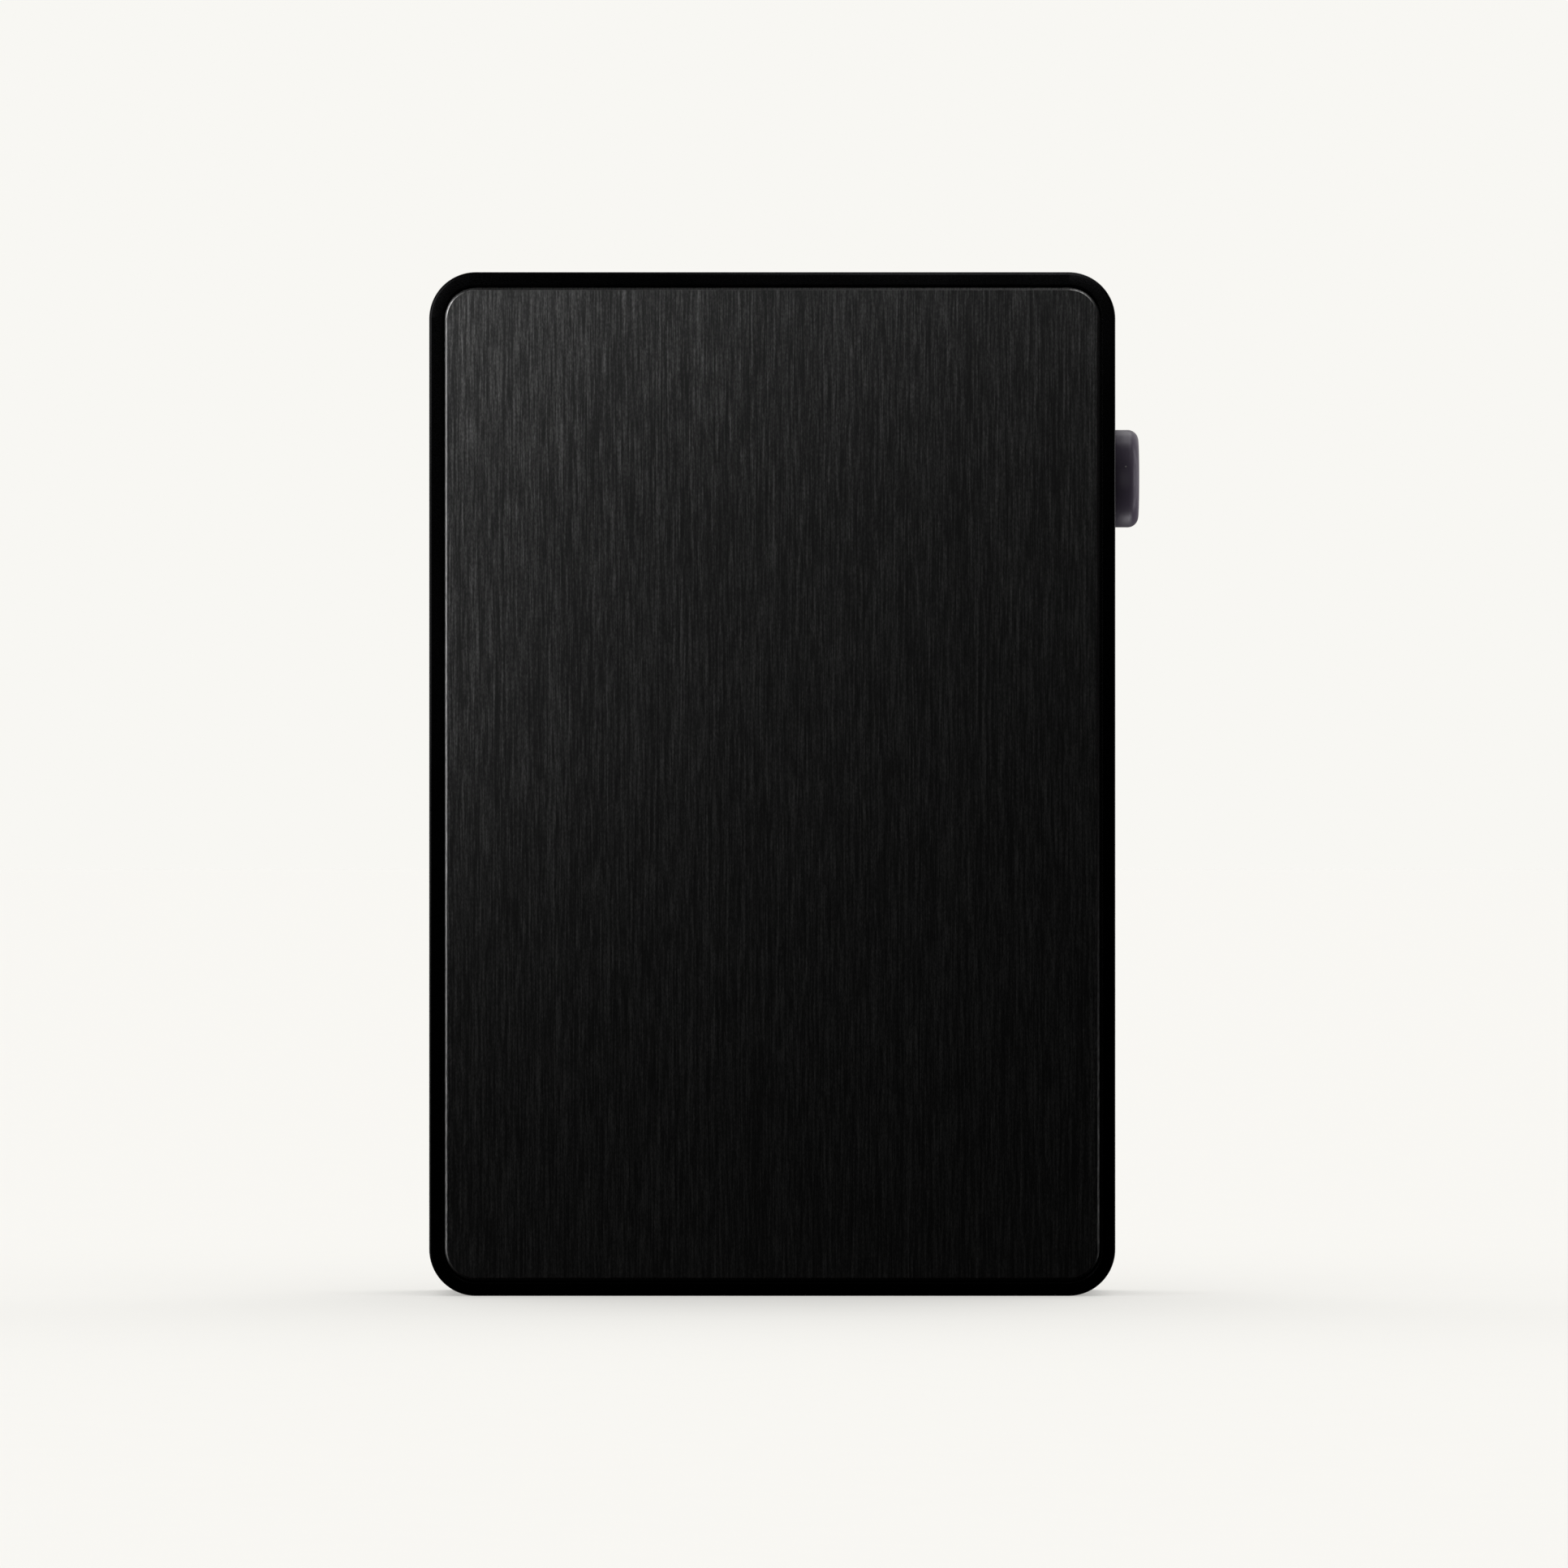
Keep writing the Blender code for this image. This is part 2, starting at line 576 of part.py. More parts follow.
def shield_can(name, low, high):
    """A five-sided stamped cover, open towards the board."""
    wall = 0.2 * MM
    can = block(name, low, high, STAMPED_STEEL, radius=0.6 * MM, steps=2)
    inner_low = [low[0] + wall, low[1] + wall, low[2] + wall]
    inner_high = [high[0] - wall, high[1] + MM, high[2] - wall]
    return cut(can, block(f"{name}_inside", inner_low, inner_high, radius=0.4 * MM, steps=2))


def shields():
    y_range = (MAIN_BOARD_Y[0] - 1.9 * MM, MAIN_BOARD_Y[0] - 0.05 * MM)
    for name, x_range, z_range in (
        ("processor_shield", (3.2, 15.9), (56.9, 80.6)),
        ("converter_shield", (-23.8, -2.4), (68.0, 75.6)),
    ):
        low = (x_range[0] * MM, y_range[0], z_range[0] * MM)
        high = (x_range[1] * MM, y_range[1], z_range[1] * MM)
        shield_can(name, low, high)


def link_flex():
    """The flat cable that joins the port board to the main board, past the battery's edge."""
    path = [(2.25, 30.0), (2.25, 37.5), (2.0, 39.0), (1.2, 44.0), (0.75, 49.0), (0.75, 57.5)]
    ribbon("board_link_flex", path, 6.0 * MM, 0, -16.5 * MM, 0.15 * MM, FLEX_AMBER)


# ---- The ports -----------------------------------------------------------------------------------
def phone_sockets():
    for name, (x, bore_r, collar_r, width, thickness, length) in SOCKETS.items():
        top, low = SOCKET_TOP_Z, SOCKET_TOP_Z - length
        body = block(
            f"{name}_socket",
            (x - width / 2, -thickness / 2, low),
            (x + width / 2, thickness / 2, top),
            MOULDED_BLACK,
        )
        bore = (low + SOCKET_FLOOR, top + PAST)
        cut(body, rod(f"{name}_bore", 2, (x, 0, bore), bore_r, sides=FINE_SIDES))
        lead_in = 0.35 * MM
        profile = [
            (collar_r, HEIGHT),
            (collar_r, SOCKET_TOP_Z + 0.1 * MM),
            (bore_r, SOCKET_TOP_Z + 0.1 * MM),
            (bore_r, HEIGHT - lead_in),
            (bore_r + lead_in, HEIGHT),
        ]
        turned(f"{name}_collar", profile, 2, (x, 0, 0), GILT_BRASS, FINE_SIDES, ring=True)


def usb_port():
    """The port's steel sleeve, and the insulator whose tongue stands in the middle of it."""
    width, thickness, length = USB_SIZE
    half_w, half_t = width / 2, thickness / 2
    low_z, high_z = USB_MOUTH_Z, USB_MOUTH_Z + length
    outer = ((USB_X - half_w, -half_t, low_z), (USB_X + half_w, half_t, high_z))
    shell = block("usb_shell", *outer, STAMPED_STEEL, 2, half_t * 0.98)
    half_w -= USB_WALL
    half_t -= USB_WALL
    bore = ((USB_X - half_w, -half_t, low_z - MM), (USB_X + half_w, half_t, high_z + MM))
    cut(shell, block("usb_bore", *bore, None, 2, half_t * 0.98))
    half_w -= USB_PLUG_GAP
    half_t -= USB_PLUG_GAP
    base_z = high_z - 1.8 * MM
    base = ((USB_X - half_w, -half_t, base_z), (USB_X + half_w, half_t, high_z))
    insulator = block("usb_tongue", *base, MOULDED_BLACK, 2, half_t * 0.98, 3)
    blade_w, blade_t = 3.35 * MM, 0.35 * MM
    blade = ((USB_X - blade_w, -blade_t, low_z + MM), (USB_X + blade_w, blade_t, high_z - MM))
    join(insulator, block("tongue_blade", *blade))


def card_reader():
    half_t, half_l = 1.15 * MM, 6.9 * MM
    low, high = (-28.9 * MM, -half_t, TRAY_Z - half_l), (-12.7 * MM, half_t, TRAY_Z + half_l)
    reader = block("card_reader", low, high, STAMPED_STEEL)
    tunnel_half = (TRAY_BED_T / 2 + 0.2 * MM, TRAY_BED_W / 2 + 0.25 * MM)
    tunnel = (
        (low[0] - PAST, -tunnel_half[0], TRAY_Z - tunnel_half[1]),
        (TRAY_END_X + 0.2 * MM, tunnel_half[0], TRAY_Z + tunnel_half[1]),
    )
    cut(reader, block("reader_tunnel", *tunnel))


# ---- The moving pieces ---------------------------------------------------------------------------
def card_tray():
    door = (-SIDE_X, -SIDE_X + 1.2 * MM)
    half_w, half_l = TRAY_DOOR[0] / 2, TRAY_DOOR[1] / 2
    tray = stadium("card_tray", door, half_w, TRAY_Z, half_l, FRAME_BLACK)
    bed_half = (TRAY_BED_T / 2, TRAY_BED_W / 2)
    bed = block(
        "tray_bed",
        (door[1] - 0.4 * MM, -bed_half[0], TRAY_Z - bed_half[1]),
        (TRAY_END_X, bed_half[0], TRAY_Z + bed_half[1]),
    )
    join(tray, bed)
    length, thickness, height = CARD_SIZE
    end = TRAY_END_X - 0.5 * MM
    room = 0.1 * MM
    card_y = (-bed_half[0] + 0.05 * MM, -bed_half[0] + 0.05 * MM + thickness)
    pocket = block(
        "card_pocket",
        (end - length - room, -bed_half[0] - MM, TRAY_Z - height / 2 - room),
        (end + room, card_y[1] + 0.05 * MM, TRAY_Z + height / 2 + room),
    )
    cut(tray, pocket)
    pin_z = TRAY_Z + half_l - 1.5 * MM
    pin_x = (door[0] - PAST, door[1] + 0.2 * MM)
    cut(tray, rod("pin_hole", 0, (pin_x, 0, pin_z), PIN_HOLE_R, sides=SMALL_SIDES))
    block(
        "memory_card",
        (end - length, card_y[0], TRAY_Z - height / 2),
        (end, card_y[1], TRAY_Z + height / 2),
        CARD_BLACK,
        radius=0.6 * MM,
        steps=2,
    )


def side_keys():
    """Each key has a cap in the scoop, a flange behind the wall and a nib on its switch's plunger."""
    face = -SIDE_X + 0.05 * MM
    flange = (-INNER_X + 0.1 * MM, -INNER_X + 0.6 * MM)
    switch_x = (-27.7 * MM, -26.3 * MM)
    for key, z in key_heights().items():
        cap = (face, flange[0] + 0.1 * MM)
        piece = stadium(f"{key}_key", cap, KEY_W / 2, z, KEY_L / 2, KNOB_SATIN, chamfer=0.15 * MM)
        low = (flange[0], -KEY_W / 2 - 0.6 * MM, z - KEY_L / 2 - 0.6 * MM)
        high = (flange[1], KEY_W / 2 + 0.6 * MM, z + KEY_L / 2 + 0.6 * MM)
        nib = ((flange[1] - 0.1 * MM, flange[1] + 0.3 * MM), 0, z)
        flange_block = block(f"{key}_flange", low, high)
        join(piece, flange_block, rod(f"{key}_nib", 0, nib, 0.8 * MM, sides=SMALL_SIDES))
        plunger = (flange[1] + 0.35 * MM, switch_x[0] + 0.25 * MM)
        rod(f"{key}_plunger", 0, (plunger, 0, z), 0.9 * MM, GILT_BRASS, SMALL_SIDES)
        low = (switch_x[0], -1.5 * MM, z - 1.75 * MM)
        high = (switch_x[1], 1.5 * MM, z + 1.75 * MM)
        switch = block(f"{key}_switch", low, high, STAMPED_STEEL)
        well = ((switch_x[0] - MM, switch_x[0] + 0.7 * MM), 0, z)
        cut(switch, rod(f"{key}_switch_well", 0, well, 1.1 * MM, sides=SMALL_SIDES))
    board_x = (switch_x[1] + 0.05 * MM, switch_x[1] + 0.85 * MM)
    low = (board_x[0], -2.3 * MM, 44.0 * MM)
    block("key_board", low, (board_x[1], 2.3 * MM, 76.0 * MM), BOARD_BLACK)


def volume_knob():
    skirt_x = SIDE_X - KNOB_SUNK
    length = KNOB_SUNK + KNOB_OUT
    fillet = 1.0 * MM
    bore = (SHAFT_R + 0.05 * MM, 1.85 * MM)
    profile = [(0, length - 0.15 * MM), (2.9 * MM, length - 0.1 * MM)]
    profile += arc((KNOB_R - fillet, length - fillet), fillet, 90, 0, 5)
    profile += [(KNOB_R, 0.15 * MM), (KNOB_R - 0.15 * MM, 0)]
    profile += [(bore[0], 0), (bore[0], bore[1]), (0, bore[1])]
    turned("volume_knob", profile, 0, (skirt_x, 0, KNOB_Z), KNOB_SATIN)
    shaft_x = (23.4 * MM, skirt_x + bore[1] - 0.05 * MM)
    rod("knob_shaft", 0, (shaft_x, 0, KNOB_Z), SHAFT_R, SCREW_STEEL, FINE_SIDES, flat=1.0 * MM)


def encoder():
    """The knob's rotary encoder: its housing on the board, the bushing in the wall, the detent rotor
    that turns with the shaft, and the slider that the shaft's end pushes."""
    chamber_r = 2.25 * MM
    low = (21.0 * MM, -2.6 * MM, KNOB_Z - 4.0 * MM)
    high = (INNER_X - 0.3 * MM, 2.6 * MM, KNOB_Z + 4.0 * MM)
    housing = block("encoder_housing", low, high, STAMPED_STEEL)
    chamber = ((low[0] + 0.8 * MM, high[0] + MM), 0, KNOB_Z)
    cut(housing, rod("encoder_chamber", 0, chamber, chamber_r, sides=24))
    flange_r = chamber_r - 0.1 * MM
    body_x = (high[0] + 0.05 * MM, SIDE_X - POCKET_DEPTH - 0.1 * MM)
    bore_r = SHAFT_R + 0.1 * MM
    profile = [
        (BUSHING_R, body_x[1]),
        (BUSHING_R, body_x[0]),
        (flange_r, body_x[0]),
        (flange_r, high[0] - 1.0 * MM),
        (bore_r, high[0] - 1.0 * MM),
        (bore_r, body_x[1]),
    ]
    turned("encoder_bushing", profile, 0, (0, 0, KNOB_Z), GILT_BRASS, 24, ring=True)
    encoder_rotor(chamber_r, bore_r)
    rod("encoder_slider", 0, ((22.6 * MM, 23.3 * MM), 0, KNOB_Z), 1.9 * MM, MOULDED_BLACK)


def encoder_rotor(chamber_r, bore_r):
    """A disc whose edge has a wave of detents, with a D-shaped hole that the shaft slides in."""
    detents, depth, steps = 12, 0.1 * MM, 48
    curve = bpy.data.curves.new("encoder_rotor", "CURVE")
    curve.dimensions = "2D"
    curve.fill_mode = "BOTH"
    thickness = 2.2 * MM
    curve.extrude = thickness / 2
    mean_r = chamber_r - 0.15 * MM - depth
    flat = 1.1 * MM
    half_angle = math.degrees(math.acos(flat / bore_r))
    wave = []
    for i in range(steps):
        angle = math.tau * i / steps
        radius = mean_r + depth * math.cos(detents * angle)
        wave.append((radius * math.cos(angle), radius * math.sin(angle)))
    hole = arc((0, 0), bore_r, half_angle, 360 - half_angle, 14)
    for loop in (wave, hole):
        spline = curve.splines.new("POLY")
        spline.points.add(len(loop) - 1)
        for point, (x, y) in zip(spline.points, loop):
            point.co = (x, y, 0.0, 1.0)
        spline.use_cyclic_u = True
    place("encoder_rotor", curve, MOULDED_BLACK, (25.7 * MM, 0, KNOB_Z), TURN[0])


# ---- The fasteners -------------------------------------------------------------------------------
def screw(name, x, z, head_y, points_to, length):
    """A small machine screw along Y. points_to is +1 or -1, the way its tip points."""
    profile = [
        (0, HEAD_T),
        (HEAD_R - 0.2 * MM, HEAD_T),
        (HEAD_R, HEAD_T - 0.2 * MM),
        (HEAD_R, 0),
        (SCREW_R, 0),
        (SCREW_R, -length + 0.3 * MM),
        (SCREW_R - 0.3 * MM, -length),
        (0, -length),
    ]
    made = turned(name, profile, 1, (x, head_y, z), SCREW_STEEL, SMALL_SIDES)
    if points_to > 0:
        made.rotation_euler = (math.pi / 2, 0, 0)
    drive_y = sorted((head_y - points_to * (HEAD_T - 0.3 * MM), head_y - points_to * (HEAD_T + MM)))
    for i, turn in enumerate((0, math.pi / 2)):
        low, high = (-0.65 * MM, -0.65 * MM, -0.14 * MM), (0.65 * MM, 0.65 * MM, 0.14 * MM)
        slot = block(f"{name}_drive_{i + 1}", low, high)
        slot.location = (x, (drive_y[0] + drive_y[1]) / 2, z)
        slot.rotation_euler = (0, turn, 0)
        cut(made, slot)
    return made


def screws():
    seat = 0.05 * MM
    for i, (x, z) in enumerate(corner_screws()):
        screw(f"chassis_screw_{i + 1}", x, z, CHASSIS_Y[1] - HEAD_T, -1, 2.2 * MM)
    for i, (x, z) in enumerate(BOARD_SCREWS):
        screw(f"board_screw_{i + 1}", x * MM, z * MM, MAIN_BOARD_Y[0] - seat, 1, 3.2 * MM)
    for i, (x, z) in enumerate(PORT_SCREWS):
        screw(f"port_screw_{i + 1}", x * MM, z * MM, PORT_BOARD_Y[0] - seat, 1, 2.0 * MM)


body_frame()
casing_covers()
display()
mid_chassis()
battery()
main_board()
port_board()
soldered_parts()
shields()
link_flex()
phone_sockets()
usb_port()
card_reader()
card_tray()
side_keys()
volume_knob()
encoder()
screws()
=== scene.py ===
"""The looks of the digital audio player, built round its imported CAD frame.

Shapes are drawn in millimetres and scaled to metres at the end. The player stands on z = 0, its brushed
back faces -Y, its glass front +Y, and its volume knob is on +X.
"""

import json
import math

import bmesh
import bpy
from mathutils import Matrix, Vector

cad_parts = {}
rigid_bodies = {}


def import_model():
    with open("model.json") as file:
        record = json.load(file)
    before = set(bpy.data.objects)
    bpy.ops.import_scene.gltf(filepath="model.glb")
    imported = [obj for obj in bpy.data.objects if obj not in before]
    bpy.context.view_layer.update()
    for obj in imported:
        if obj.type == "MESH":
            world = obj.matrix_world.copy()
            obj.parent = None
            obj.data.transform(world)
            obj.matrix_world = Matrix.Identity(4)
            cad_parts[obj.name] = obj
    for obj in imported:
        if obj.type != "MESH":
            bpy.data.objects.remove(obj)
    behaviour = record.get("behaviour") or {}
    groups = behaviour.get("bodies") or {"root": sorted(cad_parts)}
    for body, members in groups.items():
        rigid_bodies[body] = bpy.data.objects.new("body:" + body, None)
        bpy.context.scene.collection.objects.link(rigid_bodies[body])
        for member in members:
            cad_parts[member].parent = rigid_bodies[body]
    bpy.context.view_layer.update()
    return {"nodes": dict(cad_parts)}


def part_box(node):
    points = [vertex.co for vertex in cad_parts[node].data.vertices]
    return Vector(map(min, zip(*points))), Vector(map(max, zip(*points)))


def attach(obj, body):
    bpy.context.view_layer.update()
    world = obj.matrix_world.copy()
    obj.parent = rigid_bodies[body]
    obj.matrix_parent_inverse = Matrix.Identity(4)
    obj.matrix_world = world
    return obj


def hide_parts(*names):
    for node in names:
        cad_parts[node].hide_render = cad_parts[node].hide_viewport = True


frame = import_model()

MM = 0.001

# ---- Sizes, in mm --------------------------------------------------------------------------------
CORNER_R = 4.3
CORNER_STEPS = 24
EDGE_R = 0.25  # the frame's outer edges
RIM = 1.25  # the lip beside the plate and beside the glass
LIP_CHAMFER = 0.1
WALL = 2.4
REAR_LEDGE = 1.3  # from the back face to the ledge that the plate is taped to
FRONT_LEDGE = 1.1
HOLE_FLARE = 0.12
POCKET_R = 4.85
POCKET_DEPTH = 0.9
BUSHING_HOLE_R = 2.7
SCOOP_DEPTH = 0.35
SCOOP_HALF = (2.6, 16.5)
KEY_GAP = 0.15
TRAY_GAP = 0.15
COLLAR_GAP = 0.1
USB_GAP = 0.25
TAB_REACH = 4.6
TAB_Y = (1.3, 2.8)
TAB_SCREW_R = 0.8
CORNER_SCREW_X = 26.7
CORNER_SCREW_FROM_END = 4.8
PAST = 0.5  # how far a cutter runs past what it cuts
PLATE_GAP = 0.2  # round the plate and the glass, to the frame's lips
KNOB_FILLET = 1.0
KNOB_HUB_R = 1.55
KEY_HALF_W = 1.4
KEY_HALVES = {"previous": 4.2, "play": 4.2, "next": 4.2}
SOCKET_BORES = {"headphone": 1.8, "balanced": 1.3}
SOCKET_FLOOR = 1.2
CARD_CORNER_R = 0.6


def box_mm(node):
    """A CAD node's lowest and highest corners, in millimetres."""
    low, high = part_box(node)
    return low / MM, high / MM


def middle_of(node):
    """The middle of a CAD node's box, in millimetres."""
    low, high = box_mm(node)
    return (low + high) / 2


BODY_LOW, BODY_HIGH = box_mm("body_frame")
SIDE_X = BODY_HIGH.x
HEIGHT = BODY_HIGH.z
BACK_Y, FRONT_Y = BODY_LOW.y, BODY_HIGH.y
TRAY_MID_Z = middle_of("card_tray").z


# ---- Making meshes -------------------------------------------------------------------------------
def arc(centre, radius, start, end, steps):
    """Points on a circle between two angles in degrees, both ends included."""
    angles = [math.radians(start + (end - start) * i / steps) for i in range(steps + 1)]
    return [(centre[0] + radius * math.cos(a), centre[1] + radius * math.sin(a)) for a in angles]


def circle(radius, centre=(0, 0), steps=64):
    """A function from an offset to a circle, grown by that offset."""
    return lambda offset: arc(centre, radius + offset, 0, 360, steps)[:-1]


def rounded(low, high, radius, steps=CORNER_STEPS):
    """A function from an offset to a rounded rectangle between two corners, grown by that offset."""

    def loop(offset):
        a0, b0, a1, b1 = low[0] - offset, low[1] - offset, high[0] + offset, high[1] + offset
        r = max(radius + offset, 0.02)
        points = arc((a1 - r, b1 - r), r, 0, 90, steps)
        points += arc((a0 + r, b1 - r), r, 90, 180, steps)
        points += arc((a0 + r, b0 + r), r, 180, 270, steps)
        points += arc((a1 - r, b0 + r), r, 270, 360, steps)
        return points

    return loop


def stadium(half_short, half_long, middle, steps=CORNER_STEPS):
    """A round-ended bar's section, in (Y, Z), longest along Z."""
    low = (-half_short, middle - half_long)
    high = (half_short, middle + half_long)
    return rounded(low, high, half_short - 0.01, steps)


def in_space(axis, position, pair):
    """A point at a position along an axis, its other two coordinates taken in order from a pair."""
    point = [0.0, 0.0, 0.0]
    point[axis] = position
    first, second = [i for i in range(3) if i != axis]
    point[first], point[second] = pair
    return Vector(point)


def object_from(bm, name, materials):
    """An object at the origin whose mesh is that drawing, in metres."""
    bmesh.ops.recalc_face_normals(bm, faces=bm.faces)
    bmesh.ops.scale(bm, vec=Vector((MM, MM, MM)), verts=bm.verts)
    mesh = bpy.data.meshes.new(name)
    bm.to_mesh(mesh)
    bm.free()
    obj = bpy.data.objects.new(name, mesh)
    bpy.context.scene.collection.objects.link(obj)
    for material in materials:
        mesh.materials.append(material)
    return obj


def lofted(name, axis, loop, stations, materials=(), closed=False, slots=None):
    """A skin through copies of a loop along an axis. A station is (position, offset); slots gives a
    material slot for the band after each station. A closed loft joins its last loop to its first, as a
    ring's section does; an open one has flat ends, in the first and last bands' slots."""
    bm = bmesh.new()
    rings = [[bm.verts.new(in_space(axis, at, p)) for p in loop(offset)] for at, offset in stations]
    pairs = list(zip(rings, rings[1:]))
    if closed:
        pairs.append((rings[-1], rings[0]))
    slots = slots or [0] * (len(pairs) + 1)
    for (one, two), slot in zip(pairs, slots):
        count = len(one)
        for i in range(count):
            j = (i + 1) % count
            bm.faces.new((one[i], one[j], two[j], two[i])).material_index = slot
    if not closed:
        bm.faces.new(rings[0]).material_index = slots[0]
        bm.faces.new(rings[-1]).material_index = slots[-1]
    return object_from(bm, name, materials)


def applied(obj):
    """Makes an object's modifiers part of its mesh."""
    graph = bpy.context.evaluated_depsgraph_get()
    mesh = bpy.data.meshes.new_from_object(obj.evaluated_get(graph))
    obj.modifiers.clear()
    obj.data = mesh


def combined(target, operation, others):
    """Joins or cuts an object with others, which are then removed."""
    for other in others:
        step = target.modifiers.new(other.name, "BOOLEAN")
        step.operation = operation
        step.solver = "EXACT"
        step.object = other
    bpy.context.view_layer.update()
    applied(target)
    for other in others:
        bpy.data.objects.remove(other, do_unlink=True)


def smoothed(obj, angle=32):
    """Smooth shading that keeps flat faces flat and edges sharper than the angle sharp."""
    obj.data.shade_smooth()
    obj.data.set_sharp_from_angle(angle=math.radians(angle))
    weighted = obj.modifiers.new("flat faces stay flat", "WEIGHTED_NORMAL")
    weighted.keep_sharp = True
    weighted.weight = 80


def placed(obj, body, nodes, angle=32):
    """Finishes a piece: it is shaded smooth, rides on a body and stands for its CAD nodes."""
    smoothed(obj, angle)
    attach(obj, body)
    if nodes:
        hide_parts(*nodes)
    return obj


def joined(name, parts, body):
    """One gilt piece made of several parts, which rides on a body and stands for no CAD node."""
    made = parts[0]
    made.name = made.data.name = name
    combined(made, "UNION", parts[1:])
    return placed(made, body, [])


def flat_uv(obj, across, up):
    """UVs that run straight along two axes, for a grain direction that is the same everywhere."""
    layer = obj.data.uv_layers.new(name="grain")
    size = HEIGHT * MM
    for loop in obj.data.loops:
        point = obj.data.vertices[loop.vertex_index].co
        layer.data[loop.index].uv = (point[across] / size + 0.5, point[up] / size)


# ---- Making materials ----------------------------------------------------------------------------
def node(tree, kind, inputs=None, **settings):
    """A node with its settings. An input is a value, or another node's socket to link from."""
    made = tree.nodes.new(kind)
    for key, value in settings.items():
        setattr(made, key, value)
    for key, value in (inputs or {}).items():
        if isinstance(value, bpy.types.NodeSocket):
            tree.links.new(value, made.inputs[key])
        else:
            made.inputs[key].default_value = value
    return made


def blank(name, roughness, metallic=0.0, **inputs):
    """A new material's tree and its main shader."""
    made = bpy.data.materials.new(name)
    made.use_nodes = True
    shader = made.node_tree.nodes["Principled BSDF"]
    shader.inputs["Roughness"].default_value = roughness
    shader.inputs["Metallic"].default_value = metallic
    for key, value in inputs.items():
        shader.inputs[key.replace("_", " ")].default_value = value
    return made, made.node_tree, shader


def noise(tree, size, detail=3.0, roughness=0.55, offset=(0, 0, 0)):
    """Noise with features of a size in mm, or of one size along each axis."""
    sizes = (size,) * 3 if isinstance(size, (int, float)) else size
    place = node(tree, "ShaderNodeTexCoord").outputs["Object"]
    scale = tuple(1.0 / (s * MM) for s in sizes)
    stretched = node(tree, "ShaderNodeMapping", {"Vector": place, "Scale": scale, "Location": offset})
    return node(
        tree,
        "ShaderNodeTexNoise",
        {"Vector": stretched.outputs["Vector"], "Scale": 1.0, "Detail": detail, "Roughness": roughness},
    ).outputs["Fac"]


def ranged(tree, value, low, high, source=(0.3, 0.7)):
    """That value, moved from its own range to another."""
    return node(
        tree,
        "ShaderNodeMapRange",
        {"Value": value, "From Min": source[0], "From Max": source[1], "To Min": low, "To Max": high},
    ).outputs["Result"]


def blended(tree, factor, one, two, mode="MIX"):
    """A colour mixed from two, each a colour or a socket."""
    made = node(tree, "ShaderNodeMix", data_type="RGBA", blend_type=mode)
    for socket, value in ((0, factor), (6, one), (7, two)):
        if isinstance(value, bpy.types.NodeSocket):
            tree.links.new(value, made.inputs[socket])
        else:
            made.inputs[socket].default_value = value
    return made.outputs[2]


def bumped(tree, shader, height, depth, strength=1.0):
    """Bump of a depth in mm."""
    made = node(tree, "ShaderNodeBump", {"Height": height, "Distance": depth * MM, "Strength": strength})
    tree.links.new(made.outputs["Normal"], shader.inputs["Normal"])


def solid(colour):
    """A colour with its alpha."""
    return (*colour, 1.0)


def textured(
    name,
    colour,
    roughness,
    metallic=0.0,
    mottle=(12.0, 0.12),
    grain=(0.12, 0.004),
    spread=0.06,
    **inputs,
):
    """A finish with a slow variation in colour, of (size in mm, amount), and a fine grain in its relief,
    of (size in mm, depth in mm), which roughens and smooths it too."""
    made, tree, shader = blank(name, roughness, metallic, **inputs)
    patches = noise(tree, mottle[0], 2.0)
    dark = solid([c * (1 - mottle[1]) for c in colour])
    light = solid([c * (1 + mottle[1]) for c in colour])
    tone = blended(tree, ranged(tree, patches, 0, 1), dark, light)
    tree.links.new(tone, shader.inputs["Base Color"])
    fine = noise(tree, grain[0], 2.0, offset=(3.1, 5.7, 1.3))
    rough = ranged(tree, fine, roughness - spread, roughness + spread)
    tree.links.new(rough, shader.inputs["Roughness"])
    bumped(tree, shader, fine, grain[1])
    return made


def brushed_plate():
    """Black metal brushed along Z. Its highlights stretch across the brushing. Each layer has its
    streaks' size along X, Y and Z, and its share of the whole."""
    made, tree, shader = blank("plate_brushed", 0.5, 1.0, Anisotropic=0.7)
    layers = (
        (noise(tree, (0.12, 1.0, 2.2), 0.0), 0.30),
        (noise(tree, (0.16, 1.0, 7.0), 1.0, 0.5, (7.7, 0.0, 2.9)), 0.32),
        (noise(tree, (0.1, 1.0, 0.25), 0.0, 0.5, (3.2, 0.0, 8.4)), 0.20),
        (noise(tree, (0.22, 1.0, 30.0), 1.0, 0.5, (1.9, 0.0, 4.4)), 0.18),
    )
    weave = 0.0
    for layer, share in layers:
        weave = node(
            tree, "ShaderNodeMath", {0: layer, 1: share, 2: weave}, operation="MULTIPLY_ADD"
        ).outputs[0]
    sharp = node(
        tree, "ShaderNodeMath", {0: ranged(tree, weave, 0, 1, (0.34, 0.7)), 1: 2.1}, operation="POWER"
    ).outputs[0]
    tone = blended(tree, sharp, solid((0.08, 0.08, 0.08)), solid((0.38, 0.378, 0.375)))
    tree.links.new(tone, shader.inputs["Base Color"])
    tree.links.new(ranged(tree, sharp, 0.5, 0.44, (0.0, 1.0)), shader.inputs["Roughness"])
    bumped(tree, shader, weave, 0.004, 0.6)
    along = node(tree, "ShaderNodeTangent", direction_type="UV_MAP", uv_map="grain")
    tree.links.new(along.outputs["Tangent"], shader.inputs["Tangent"])
    return made


